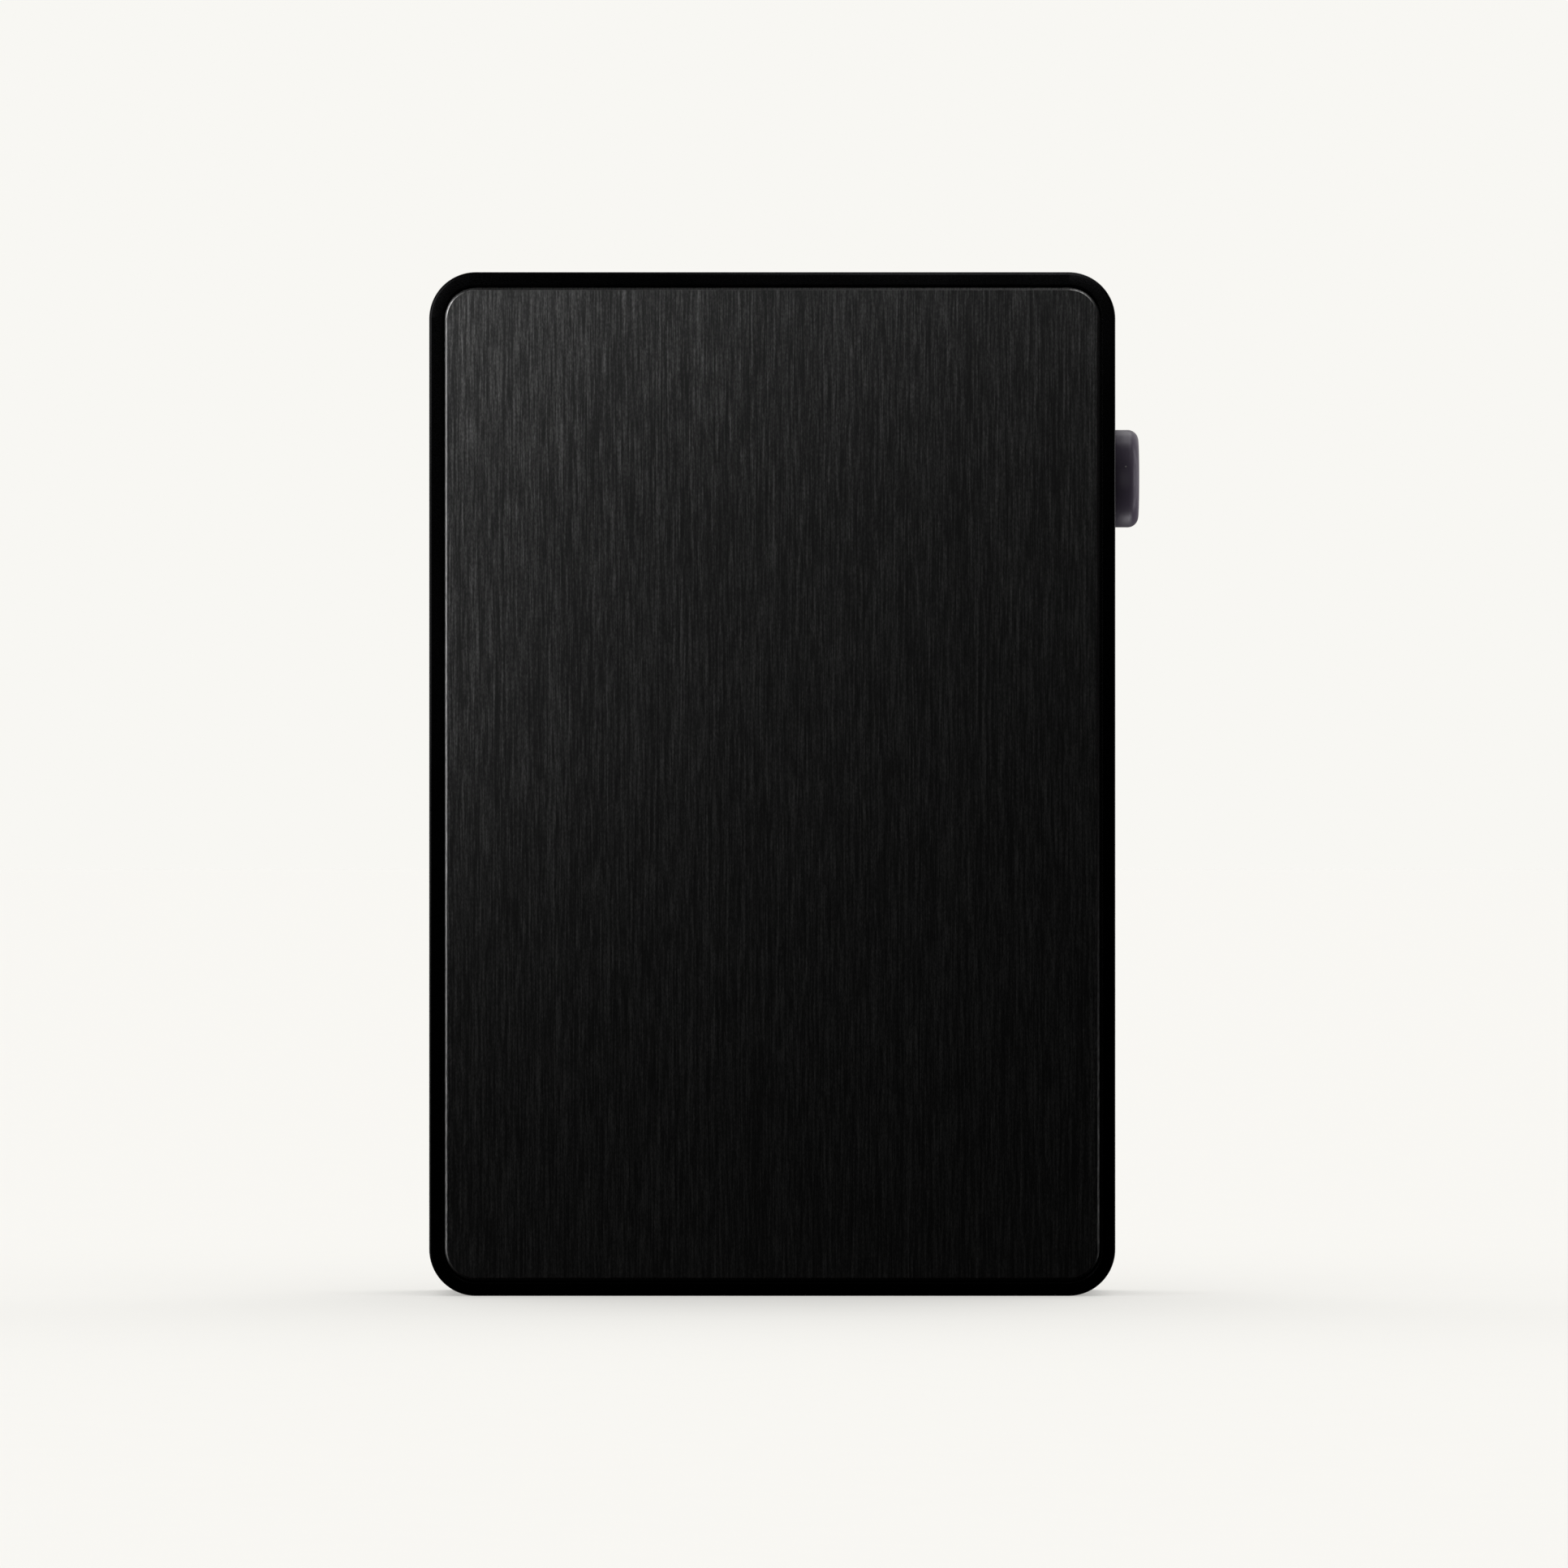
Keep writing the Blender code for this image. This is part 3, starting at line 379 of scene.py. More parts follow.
def plate_edge():
    """The plate's cut edge: bright where the cutter left it, with the brushing's ends nicking it."""
    made, tree, shader = blank("plate_edge", 0.3, 1.0)
    nicks = noise(tree, (0.15, 1.0, 0.9), 2.0)
    tone = blended(tree, ranged(tree, nicks, 0, 1), solid((0.4, 0.4, 0.4)), solid((0.9, 0.89, 0.88)))
    tree.links.new(tone, shader.inputs["Base Color"])
    tree.links.new(ranged(tree, nicks, 0.4, 0.28), shader.inputs["Roughness"])
    bumped(tree, shader, nicks, 0.002)
    return made


def knob_finish():
    """A satin plum-grey metal, bead-blasted, with faint turning lines round the axis."""
    made, tree, shader = blank("knob_satin_metal", 0.37, 0.05, Specular_IOR_Level=0.42)
    beads = noise(tree, 0.08, 2.0)
    patches = noise(tree, 2.5, 2.0, offset=(2.2, 0.4, 8.1))
    rings = noise(tree, (0.06, 6.0, 6.0), 1.0, offset=(0.7, 1.1, 2.3))
    tone = blended(
        tree, ranged(tree, patches, 0, 1), solid((0.109, 0.09, 0.13)), solid((0.117, 0.097, 0.139))
    )
    tree.links.new(tone, shader.inputs["Base Color"])
    tree.links.new(ranged(tree, beads, 0.32, 0.42), shader.inputs["Roughness"])
    relief = node(tree, "ShaderNodeMath", {0: rings, 1: 0.4, 2: beads}, operation="MULTIPLY_ADD")
    bumped(tree, shader, relief.outputs[0], 0.003)
    return made


def under_glass(name, colour, pitch=None):
    """What shows through the cover glass, under its polish: black ink, or the dark display. pitch is
    the display's pixel pitch in mm."""
    made, tree, shader = blank(name, 0.06, 0.0, Coat_Weight=1.0, Coat_Roughness=0.02)
    cloud = noise(tree, 18.0, 3.0)
    tone = blended(
        tree,
        ranged(tree, cloud, 0, 1),
        solid([c * 0.95 for c in colour]),
        solid([c * 1.05 for c in colour]),
    )
    if pitch:
        place = node(tree, "ShaderNodeTexCoord").outputs["Object"]
        parts = node(tree, "ShaderNodeSeparateXYZ", {0: place})
        lines = []
        turns = math.tau / (pitch * MM)
        for axis in (0, 2):
            turn = node(tree, "ShaderNodeMath", {0: parts.outputs[axis], 1: turns}, operation="MULTIPLY")
            wave = node(tree, "ShaderNodeMath", {0: turn.outputs[0]}, operation="COSINE")
            lines.append(wave.outputs[0])
        both = node(tree, "ShaderNodeMath", {0: lines[0], 1: lines[1]}, operation="MAXIMUM")
        grid = ranged(tree, both.outputs[0], 1.0, 0.55, (0.5, 1.0))
        tone = blended(tree, 1.0, tone, grid, "MULTIPLY")
    tree.links.new(tone, shader.inputs["Base Color"])
    smudges = noise(tree, (9.0, 9.0, 14.0), 4.0, 0.6, (4.0, 2.0, 9.0))
    tree.links.new(ranged(tree, smudges, 0.035, 0.09, (0.45, 0.75)), shader.inputs["Roughness"])
    return made


def board_finish():
    """Black solder mask with copper traces under it and gilt pads."""
    made, tree, shader = blank("board_mask", 0.35, 0.0)
    place = node(tree, "ShaderNodeTexCoord").outputs["Object"]
    traces = node(
        tree,
        "ShaderNodeTexVoronoi",
        {"Vector": place, "Scale": 420.0, "Randomness": 0.7},
        feature="DISTANCE_TO_EDGE",
        distance="EUCLIDEAN",
    )
    pads = node(
        tree,
        "ShaderNodeTexVoronoi",
        {"Vector": place, "Scale": 700.0, "Randomness": 0.5},
        feature="F1",
        distance="CHEBYCHEV",
    )
    line = ranged(tree, traces.outputs["Distance"], 1.0, 0.0, (0.05, 0.09))
    spot = ranged(tree, pads.outputs["Distance"], 1.0, 0.0, (0.11, 0.13))
    mask = blended(tree, line, solid((0.006, 0.012, 0.009)), solid((0.014, 0.03, 0.021)))
    tone = blended(tree, spot, mask, solid((0.6, 0.42, 0.16)))
    tree.links.new(tone, shader.inputs["Base Color"])
    tree.links.new(spot, shader.inputs["Metallic"])
    bumped(tree, shader, line, 0.02, 0.6)
    return made


PLATE_BRUSHED = brushed_plate()
PLATE_EDGE = plate_edge()
FRAME_BLACK = textured(
    "frame_anodised", (0.02, 0.02, 0.021), 0.27, 1.0, mottle=(9.0, 0.15), grain=(0.07, 0.002), spread=0.05
)
KNOB_SATIN = knob_finish()
KEY_SATIN = textured(
    "key_satin_metal", (0.07, 0.066, 0.072), 0.34, 1.0, mottle=(2.0, 0.1), grain=(0.06, 0.002), spread=0.05
)
INDEX_PAINT = textured("index_paint", (0.62, 0.6, 0.58), 0.5, mottle=(0.2, 0.08), grain=(0.03, 0.002))
GLASS_INK = under_glass("glass_over_ink", (0.0025, 0.0025, 0.0028))
GLASS_SCREEN = under_glass("glass_over_display", (0.034, 0.037, 0.044), 0.078)
GLASS_RIM = textured("glass_cut_edge", (0.012, 0.016, 0.015), 0.12, mottle=(5.0, 0.1), grain=(0.3, 0.001))
PANEL_DARK = textured("panel_film", (0.01, 0.01, 0.013), 0.15, mottle=(8.0, 0.2), grain=(0.2, 0.001))
TAPE_BLACK = textured("foam_tape", (0.018, 0.018, 0.019), 0.85, mottle=(1.5, 0.25), grain=(0.15, 0.03))
STAMPED_STEEL = textured(
    "stamped_steel_sheet", (0.5, 0.49, 0.47), 0.32, 1.0, mottle=(3.0, 0.1), grain=(0.2, 0.003), spread=0.1
)
SCREW_STEEL = textured(
    "screw_black_zinc", (0.16, 0.16, 0.17), 0.36, 1.0, mottle=(0.6, 0.2), grain=(0.08, 0.004), spread=0.1
)
CAST_ALLOY = textured(
    "cast_magnesium", (0.4, 0.41, 0.42), 0.5, 1.0, mottle=(4.0, 0.12), grain=(0.25, 0.02), spread=0.1
)
CELL_WRAP = textured(
    "cell_pouch_film", (0.1, 0.1, 0.11), 0.38, 0.7, mottle=(7.0, 0.18), grain=(0.6, 0.02), spread=0.1
)
BOARD_BLACK = board_finish()
CHIP_EPOXY = textured(
    "chip_epoxy_mould", (0.016, 0.016, 0.017), 0.62, mottle=(1.2, 0.2), grain=(0.05, 0.006)
)
MOULDED_BLACK = textured(
    "moulded_nylon", (0.014, 0.014, 0.015), 0.5, mottle=(2.0, 0.15), grain=(0.08, 0.008)
)
GILT_BRASS = textured(
    "gilt_turned_brass", (0.78, 0.55, 0.24), 0.24, 1.0, mottle=(1.0, 0.08), grain=(0.05, 0.002), spread=0.06
)
FLEX_AMBER = textured("flex_polyimide", (0.22, 0.09, 0.018), 0.38, mottle=(2.0, 0.2), grain=(0.3, 0.006))
CARD_BLACK = textured("card_shell", (0.018, 0.018, 0.019), 0.48, mottle=(1.5, 0.15), grain=(0.06, 0.006))


# ---- The casing ----------------------------------------------------------------------------------
def body_outline():
    """The outline of the frame's outer side, in (X, Z)."""
    return rounded((-SIDE_X, 0.0), (SIDE_X, HEIGHT), CORNER_R)


def frame_section():
    """The frame's section, as (y, offset from the outer side) round its loop."""
    rear = [(y, x) for x, y in arc((-EDGE_R, BACK_Y + EDGE_R), EDGE_R, 0, -90, 6)]
    front = [(y, x) for x, y in arc((-EDGE_R, FRONT_Y - EDGE_R), EDGE_R, 90, 0, 6)]
    lip = -RIM
    section = rear + [
        (BACK_Y, lip + LIP_CHAMFER),
        (BACK_Y + LIP_CHAMFER, lip),
        (BACK_Y + REAR_LEDGE, lip),
        (BACK_Y + REAR_LEDGE, -WALL),
        (FRONT_Y - FRONT_LEDGE, -WALL),
        (FRONT_Y - FRONT_LEDGE, lip),
        (FRONT_Y - LIP_CHAMFER, lip),
        (FRONT_Y, lip + LIP_CHAMFER),
    ]
    return section + front


def corner_tabs():
    """The four tabs inside the frame's corners that the chassis is screwed to, and their holes."""
    tabs, holes = [], []
    reach = WALL + TAB_REACH
    for side in (-1, 1):
        for z in (CORNER_SCREW_FROM_END, HEIGHT - CORNER_SCREW_FROM_END):
            outer, inner = side * (SIDE_X - WALL + 0.5), side * (SIDE_X - reach)
            ends = (WALL - 0.5, reach) if z < HEIGHT / 2 else (HEIGHT - reach, HEIGHT - WALL + 0.5)
            low = (min(outer, inner), ends[0])
            high = (max(outer, inner), ends[1])
            tag = f"{side}_{z:.0f}"
            tabs.append(
                lofted(f"tab_{tag}", 1, rounded(low, high, 0.3, 3), [(TAB_Y[0], 0), (TAB_Y[1], 0)])
            )
            ring = circle(TAB_SCREW_R, (side * CORNER_SCREW_X, z), 24)
            holes.append(lofted(f"tab_hole_{tag}", 1, ring, [(TAB_Y[0] - 1, 0), (TAB_Y[1] + 1, 0)]))
    return tabs, holes


def knob_cutters():
    """The knob's shallow pocket in the frame's +X side, and its bushing's hole."""
    knob_z = middle_of("volume_knob").z
    floor_x = SIDE_X - POCKET_DEPTH
    soft = 0.08
    pocket_stations = [
        (floor_x, -soft),
        (floor_x + soft, 0),
        (SIDE_X - HOLE_FLARE, 0),
        (SIDE_X + PAST, HOLE_FLARE + PAST),
    ]
    hole_stations = [(SIDE_X - WALL - 1, 0), (floor_x - 0.1, 0), (floor_x + 0.3, 0.4)]
    return [
        lofted("knob_pocket", 0, circle(POCKET_R, (0, knob_z), 96), pocket_stations),
        lofted("bushing_hole", 0, circle(BUSHING_HOLE_R, (0, knob_z), 64), hole_stations),
    ]


def key_cutters():
    """The scoop that the three keys stand in, on the frame's -X side, and the keys' holes."""
    keys = [box_mm(f"{name}_key") for name in KEY_HALVES]
    middle = (min(low.z for low, _ in keys) + max(high.z for _, high in keys)) / 2
    scoop_x = -SIDE_X + SCOOP_DEPTH
    soft, rim, flare = 0.12, 0.06, 0.6
    scoop_stations = [
        (scoop_x, -soft),
        (scoop_x - soft / 4, -soft / 4),
        (scoop_x - soft, 0),
        (-SIDE_X + rim, 0),
        (-SIDE_X - PAST, flare),
    ]
    cutters = [lofted("key_scoop", 0, stadium(*SCOOP_HALF, middle), scoop_stations)]
    chamfer = 0.1
    edge = scoop_x - chamfer / 2
    stations = [(WALL + 1 - SIDE_X, 0), (edge + chamfer, 0), (edge, chamfer), (edge - 1, chamfer)]
    for name, half_l in KEY_HALVES.items():
        hole = stadium(KEY_HALF_W + KEY_GAP, half_l + KEY_GAP, middle_of(f"{name}_key").z, 16)
        cutters.append(lofted(f"{name}_hole", 0, hole, stations))
    return cutters


def tray_cutter():
    """The card tray's slot in the frame's -X side."""
    (_, z0), (half_w, z1) = tray_door()
    slot = stadium(half_w + TRAY_GAP, (z1 - z0) / 2 + TRAY_GAP, TRAY_MID_Z, 20)
    flare = 0.07
    stations = [(WALL + 1 - SIDE_X, 0), (-SIDE_X + flare, 0), (-SIDE_X - PAST, flare + PAST)]
    return lofted("tray_slot", 0, slot, stations)


def tray_door():
    """The tray door's lowest and highest (Y, Z)."""
    low, high = box_mm("card_tray")
    return (low.y, low.z), (high.y, high.z)


def end_cutters():
    """Cutters for the sockets' holes in the top and the USB port's hole in the bottom."""
    cutters = []
    flare = 0.08
    stations = [(HEIGHT - WALL - 1, 0), (HEIGHT - flare, 0), (HEIGHT + PAST, flare + PAST)]
    for name in SOCKET_BORES:
        low, high = box_mm(f"{name}_collar")
        centre, radius = ((low.x + high.x) / 2, 0.0), (high.x - low.x) / 2
        cutters.append(lofted(f"{name}_hole", 2, circle(radius + COLLAR_GAP, centre), stations))
    low, high = box_mm("usb_shell")
    port = rounded((low.x, low.y), (high.x, high.y), (high.y - low.y) / 2 - 0.02, 16)
    flare = 0.15
    stations = [(-PAST, USB_GAP + flare + PAST), (flare, USB_GAP), (WALL + 1, USB_GAP)]
    cutters.append(lofted("usb_hole", 2, port, stations))
    return cutters


def frame_shell():
    """The frame: a ring with a ledge behind each of its lips, four tabs, and every hole in its sides."""
    made = lofted("frame_shell", 1, body_outline(), frame_section(), [FRAME_BLACK], closed=True)
    tabs, holes = corner_tabs()
    combined(made, "UNION", tabs)
    side_cutters = knob_cutters() + key_cutters() + [tray_cutter()]
    combined(made, "DIFFERENCE", holes + side_cutters + end_cutters())
    return placed(made, "player", ["body_frame"])


def rear_cover():
    """The brushed plate, with a bright bevel round its outer face."""
    low, high = box_mm("back_plate")
    outline = rounded((low.x, low.z), (high.x, high.z), CORNER_R - RIM - PLATE_GAP)
    wide, deep, soft = 0.2, 0.12, 0.03
    stations = [
        (low.y, -wide - soft),
        (low.y + soft * 0.15, -wide),
        (low.y + deep, -soft),
        (low.y + deep + soft, 0),
        (high.y - 0.06, 0),
        (high.y, -0.06),
    ]
    made = lofted(
        "rear_cover", 1, outline, stations, [PLATE_BRUSHED, PLATE_EDGE], slots=[0, 1, 1, 1, 1, 0]
    )
    for face in made.data.polygons:
        if abs(face.normal.y) > 0.999:
            face.material_index = 0
    flat_uv(made, 0, 2)
    return placed(made, "player", ["back_plate"])


def screen_glass():
    """The cover glass: a soft polished edge, black ink round the border and the dark display's window."""
    low, high = box_mm("front_glass")
    outline = rounded((low.x, low.z), (high.x, high.z), CORNER_R - RIM - PLATE_GAP)
    curve, soft, border = 0.35, 0.06, 1.2
    edge = [(y, x) for x, y in arc((-curve, high.y - curve), curve, 0, 90, 8)]
    stations = [(low.y, -soft), (low.y + soft, 0)] + edge
    ink, screen, cut_edge = 0, 1, 2
    materials = [GLASS_INK, GLASS_SCREEN, GLASS_RIM]
    made = lofted("screen_glass", 1, outline, stations, materials, slots=[cut_edge] * len(stations))
    bm = bmesh.new()
    bm.from_mesh(made.data)
    front = max(bm.faces, key=lambda f: f.calc_center_median().y * 1e3 + f.calc_area())
    window = bmesh.ops.inset_individual(bm, faces=[front], thickness=border * MM, depth=0.0)
    for face in window["faces"]:
        face.material_index = ink
    front.material_index = screen
    bm.to_mesh(made.data)
    bm.free()
    return placed(made, "player", ["front_glass"])


# ---- The controls --------------------------------------------------------------------------------
def knob():
    """The volume knob, turned, as (x, offset from its rim): a satin rim and a dished face in front, and
    a hollow behind for its hub."""
    low, high = box_mm("volume_knob")
    z = (low.z + high.z) / 2
    radius = (high.z - low.z) / 2
    back, face = low.x, high.x
    hollow_depth, axis_gap, inner = 1.85, 0.02, -KNOB_FILLET
    section = [(back, -radius + KNOB_HUB_R), (back, -0.15), (back + 0.05, -0.05), (back + 0.15, 0.0)]
    section += arc((face - KNOB_FILLET, -KNOB_FILLET), KNOB_FILLET, 90, 0, 14)
    section += [
        (face - 0.015, inner - 0.25),
        (face - 0.05, inner - 0.5),
        (face - 0.09, inner - 0.9),
        (face - 0.12, -radius + 1.4),
        (face - 0.145, -radius + 0.6),
        (face - 0.15, -radius + axis_gap),
        (back + hollow_depth, -radius + axis_gap),
        (back + hollow_depth, -radius + KNOB_HUB_R),
    ]
    made = lofted("knob", 0, circle(radius, (0, z), 128), section, [KNOB_SATIN], closed=True)
    return placed(made, "knob", ["volume_knob"], 50)


def index_dot():
    """A small painted dot on the knob's rim, which shows how far it has turned."""
    low, high = box_mm("volume_knob")
    z = (low.z + high.z) / 2
    radius = (high.z - low.z) / 2
    up, out, dot_r, proud = 1.0, 1.04, 0.09, 0.012
    depth = math.sqrt(radius**2 - up**2)
    loop = circle(dot_r, (SIDE_X + out, z + up), 20)
    stations = [(-depth - proud, -0.02), (-depth - 0.002, 0), (-depth + 0.06, 0)]
    made = lofted("knob_index", 1, loop, stations, [INDEX_PAINT])
    return placed(made, "knob", [])


def key(name):
    """A side key: a faintly dished cap with a soft edge, a flange that keeps it in, and a nib."""
    low, high = box_mm(f"{name}_key")
    z = (low.z + high.z) / 2
    face, soft = low.x, 0.18
    nib_r, nib_length, flange_t = 0.8, 0.3, 0.5
    flange_x = high.x - nib_length - flange_t
    edge = [(face + soft - dx, -soft + dr) for dx, dr in arc((0, 0), soft, 90, 0, 6)]
    dish = [(face + 0.02, -0.7), (face + 0.008, -0.45)]
    stations = dish + edge[::-1] + [(flange_x + 0.1, 0)]
    outline = stadium(KEY_HALF_W, KEY_HALVES[name], z)
    made = lofted(f"{name}_cap", 0, outline, stations, [KEY_SATIN])
    flange_loop = rounded((low.y, low.z), (high.y, high.z), 0.3, 4)
    flange = lofted("flange", 0, flange_loop, [(flange_x, 0), (flange_x + flange_t, 0)], [KEY_SATIN])
    nib_stations = [(flange_x + flange_t - 0.1, 0), (high.x, 0)]
    nib = lofted("nib", 0, circle(nib_r, (0, z), 24), nib_stations, [KEY_SATIN])
    combined(made, "UNION", [flange, nib])
    return placed(made, f"{name}_button", [f"{name}_key"])


def card_tray():
    """The card tray: a door flush with the side, a pin hole, and a thin bed that holds the card."""
    low, high = box_mm("card_tray")
    card_low, card_high = box_mm("memory_card")
    (_, z0), (half_w, z1) = tray_door()
    door_t, soft = 1.2, 0.1
    door_end = low.x + door_t
    stations = [(low.x, -soft), (low.x + 0.03, -0.03), (low.x + soft, 0), (door_end, 0)]
    made = lofted("tray", 0, stadium(half_w, (z1 - z0) / 2, TRAY_MID_Z), stations, [FRAME_BLACK])
    bed_half_t, bed_half_w = 0.65, 6.1
    bed_low = (door_end - 0.4, TRAY_MID_Z - bed_half_w)
    bed_high = (high.x, TRAY_MID_Z + bed_half_w)
    bed = lofted("bed", 1, rounded(bed_low, bed_high, 0.3, 4), [(-bed_half_t, 0), (bed_half_t, 0)])
    combined(made, "UNION", [bed])
    gap = 0.1
    pocket_low = (card_low.x - gap, card_low.z - gap)
    pocket_high = (card_high.x + gap, card_high.z + gap)
    pocket_stations = [(-bed_half_t - 1, 0), (card_high.y + 0.05, 0)]
    pocket = lofted("pocket", 1, rounded(pocket_low, pocket_high, CARD_CORNER_R, 6), pocket_stations)
    pin_r, pin_from_end, lead = 0.45, 1.5, 0.05
    pin_stations = [(low.x - PAST, PAST + lead), (low.x + lead, 0), (door_end + 0.2, 0)]
    pin = lofted("pin", 0, circle(pin_r, (0, z1 - pin_from_end), 32), pin_stations)
    combined(made, "DIFFERENCE", [pocket, pin])
    return placed(made, "tray", ["card_tray"])


def memory_card():
    """A small memory card, with rounded corners and softened edges."""
    low, high = box_mm("memory_card")
    soft = 0.08
    outline = rounded((low.x, low.z), (high.x, high.z), CARD_CORNER_R, 8)
    stations = [(low.y, -soft), (low.y + soft, 0), (high.y - soft, 0), (high.y, -soft)]
    made = lofted("card", 1, outline, stations, [CARD_BLACK])
    return placed(made, "tray", ["memory_card"])


def card_contacts():
    """The card's gilt contacts, in a row by its inner end. Two of them reach further than the rest."""
    low, high = box_mm("memory_card")
    count, long_ones = 8, (2, 5)
    pitch, half_w, length, extra, proud = 1.1, 0.4, 2.4, 0.4, 0.015
    end = high.x - 0.7
    pads = []
    for i in range(count):
        z = (low.z + high.z) / 2 + (i - (count - 1) / 2) * pitch
        reach = length + (extra if i in long_ones else 0.0)
        outline = rounded((end - reach, z - half_w), (end, z + half_w), 0.12, 4)
        stations = [(low.y - proud, -0.01), (low.y + 0.02, 0)]
        pads.append(lofted(f"pad_{i}", 1, outline, stations, [GILT_BRASS]))
    return joined("card_contacts", pads, "tray")


# ---- The ports -----------------------------------------------------------------------------------
def collar(name, bore):
    """A socket's gilt collar, with a rounded rim and a lead-in to its bore."""
    low, high = box_mm(f"{name}_collar")
    centre = ((low.x + high.x) / 2, 0.0)
    outer = (high.x - low.x) / 2
    top, soft, lead = high.z, 0.12, 0.35
    rim = [(top - soft + dz, -soft + dr) for dr, dz in arc((0, 0), soft, 0, 90, 5)]
    wall = outer - bore
    section = [(low.z, 0.0)] + rim
    section += [(top - 0.05, lead - wall), (top - lead, -wall), (low.z, -wall)]
    made = lofted(f"{name}_ring", 2, circle(outer, centre, 96), section, [GILT_BRASS], closed=True)
    return placed(made, "player", [f"{name}_collar"])


def socket(name, bore):
    """A socket's moulded body, with a smooth bore."""
    low, high = box_mm(f"{name}_socket")
    centre = ((low.x + high.x) / 2, 0.0)
    soft = 0.15
    outline = rounded((low.x, low.y), (high.x, high.y), 0.4, 6)
    stations = [(low.z, -soft), (low.z + soft, 0), (high.z - soft, 0), (high.z, -soft)]
    made = lofted(f"{name}_jack", 2, outline, stations, [MOULDED_BLACK])
    hole = lofted("bore", 2, circle(bore, centre, 64), [(low.z + SOCKET_FLOOR, 0), (high.z + 1, 0)])
    combined(made, "DIFFERENCE", [hole])
    return placed(made, "player", [f"{name}_socket"])


def socket_springs(name, bore):
    """The gilt contact springs that stand in a socket's bore, at three depths."""
    low, high = box_mm(f"{name}_socket")
    x = (low.x + high.x) / 2
    half_w, sunk, stands_out, tall, soft = bore * 0.3, 0.05, 0.22, 1.3, 0.04
    springs = []
    for i, (side, depth) in enumerate(((1, 2.2), (-1, 4.6), (1, 7.0))):
        root = x + side * (bore + sunk)
        tip = x + side * (bore - stands_out)
        outline = rounded((min(root, tip), -half_w), (max(root, tip), half_w), 0.05, 3)
        top = high.z - depth
        stations = [(top - tall, -soft), (top - tall / 2, 0), (top, -soft)]
        springs.append(lofted(f"{name}_spring_{i}", 2, outline, stations, [GILT_BRASS]))
    return joined(f"{name}_springs", springs, "player")


def usb_contacts():
    """Rows of gilt contacts on both faces of the USB tongue."""
    mouth_z = box_mm("usb_tongue")[0].z
    blade_half_t, proud, sunk = 0.35, 0.01, 0.03
    count, pitch, half_w = 12, 0.5, 0.13
    ends = (mouth_z + 0.5, mouth_z + 3.2)
    pads = []
    for side in (-1, 1):
        outside = side * (blade_half_t + proud)
        inside = side * (blade_half_t - sunk)
        stations = [(min(outside, inside), 0), (max(outside, inside), 0)]
        for i in range(count):
            x = middle_of("usb_tongue").x + (i - (count - 1) / 2) * pitch
            outline = rounded((x - half_w, ends[0]), (x + half_w, ends[1]), 0.05, 3)
            pads.append(lofted(f"pad_{side}_{i}", 1, outline, stations, [GILT_BRASS]))
    return joined("usb_contacts", pads, "player")


def usb_sleeve():
    """The USB port's steel sleeve, with a lead-in at its mouth."""
    low, high = box_mm("usb_shell")
    wall, lead = 0.3, 0.12
    loop = rounded((low.x, low.y), (high.x, high.y), (high.y - low.y) / 2 - 0.02, 20)
    section = [
        (low.z, -lead / 2),
        (low.z + lead / 2, 0),
        (high.z, 0),
        (high.z, -wall),
        (low.z + lead, -wall),
        (low.z, -wall + lead),
    ]
    made = lofted("usb_sleeve", 2, loop, section, [STAMPED_STEEL], closed=True)
    return placed(made, "player", ["usb_shell"])


# ---- The materials of the CAD nodes that stay ----------------------------------------------------
def dress_cad_nodes():
    """Gives each CAD node that is seen as it is its material."""
    finishes = {
        TAPE_BLACK: ["back_tape", "glass_tape", "battery_pad"],
        PANEL_DARK: ["display_panel"],
        CAST_ALLOY: ["mid_chassis"],
        CELL_WRAP: ["battery_cell"],
        BOARD_BLACK: ["main_board", "port_board", "key_board"],
        GILT_BRASS: ["encoder_bushing", "previous_plunger", "play_plunger", "next_plunger"],
        FLEX_AMBER: ["battery_lead", "board_link_flex", "display_flex"],
        MOULDED_BLACK: [
            "battery_connector",
            "usb_tongue",
            "encoder_rotor",
            "encoder_slider",
        ],
        CHIP_EPOXY: [
            "processor_chip",
            "memory_chip",
            "power_chip",
            "left_converter_chip",
            "right_converter_chip",
            "headphone_amplifier_chip",
        ],
        SCREW_STEEL: ["knob_shaft"]
        + [f"chassis_screw_{i}" for i in (1, 2, 3, 4)]
        + [f"board_screw_{i}" for i in (1, 2, 3)]
        + [f"port_screw_{i}" for i in (1, 2)],
        STAMPED_STEEL: [
            "display_backlight",
            "processor_shield",
            "converter_shield",
            "card_reader",
            "encoder_housing",
            "previous_switch",
            "play_switch",
            "next_switch",
            "audio_capacitor_1",
            "audio_capacitor_2",
        ],
    }
    for material, names in finishes.items():
        for name in names:
            obj = frame["nodes"][name]
            obj.data.materials.clear()
            obj.data.materials.append(material)


# ---- The stage -----------------------------------------------------------------------------------
PALE = (0.939, 0.930, 0.896)  # the backdrop's colour
FLOOR_SHARE = 0.85  # the floor's own colour, as a share of the backdrop's
FLOOR_HALF = 6.0  # in metres
VIEW_DISTANCE = 1199.4  # from the back plate
LENS = 300.0
CAMERA_X = 1.08  # beside the body's middle, because the knob stands out on one side
WORLD_FRONT = 0.0  # how bright the surroundings are to the player, in front of it and behind it
WORLD_BEHIND = 0.6
WORLD_DIM = 0.2  # the dimmest part behind the player, as a share of the brightest
FLOOR_SUN = 0.22  # casts the faint shadow on the floor
FLOOR_SHADOWLESS_SUN = 3.01
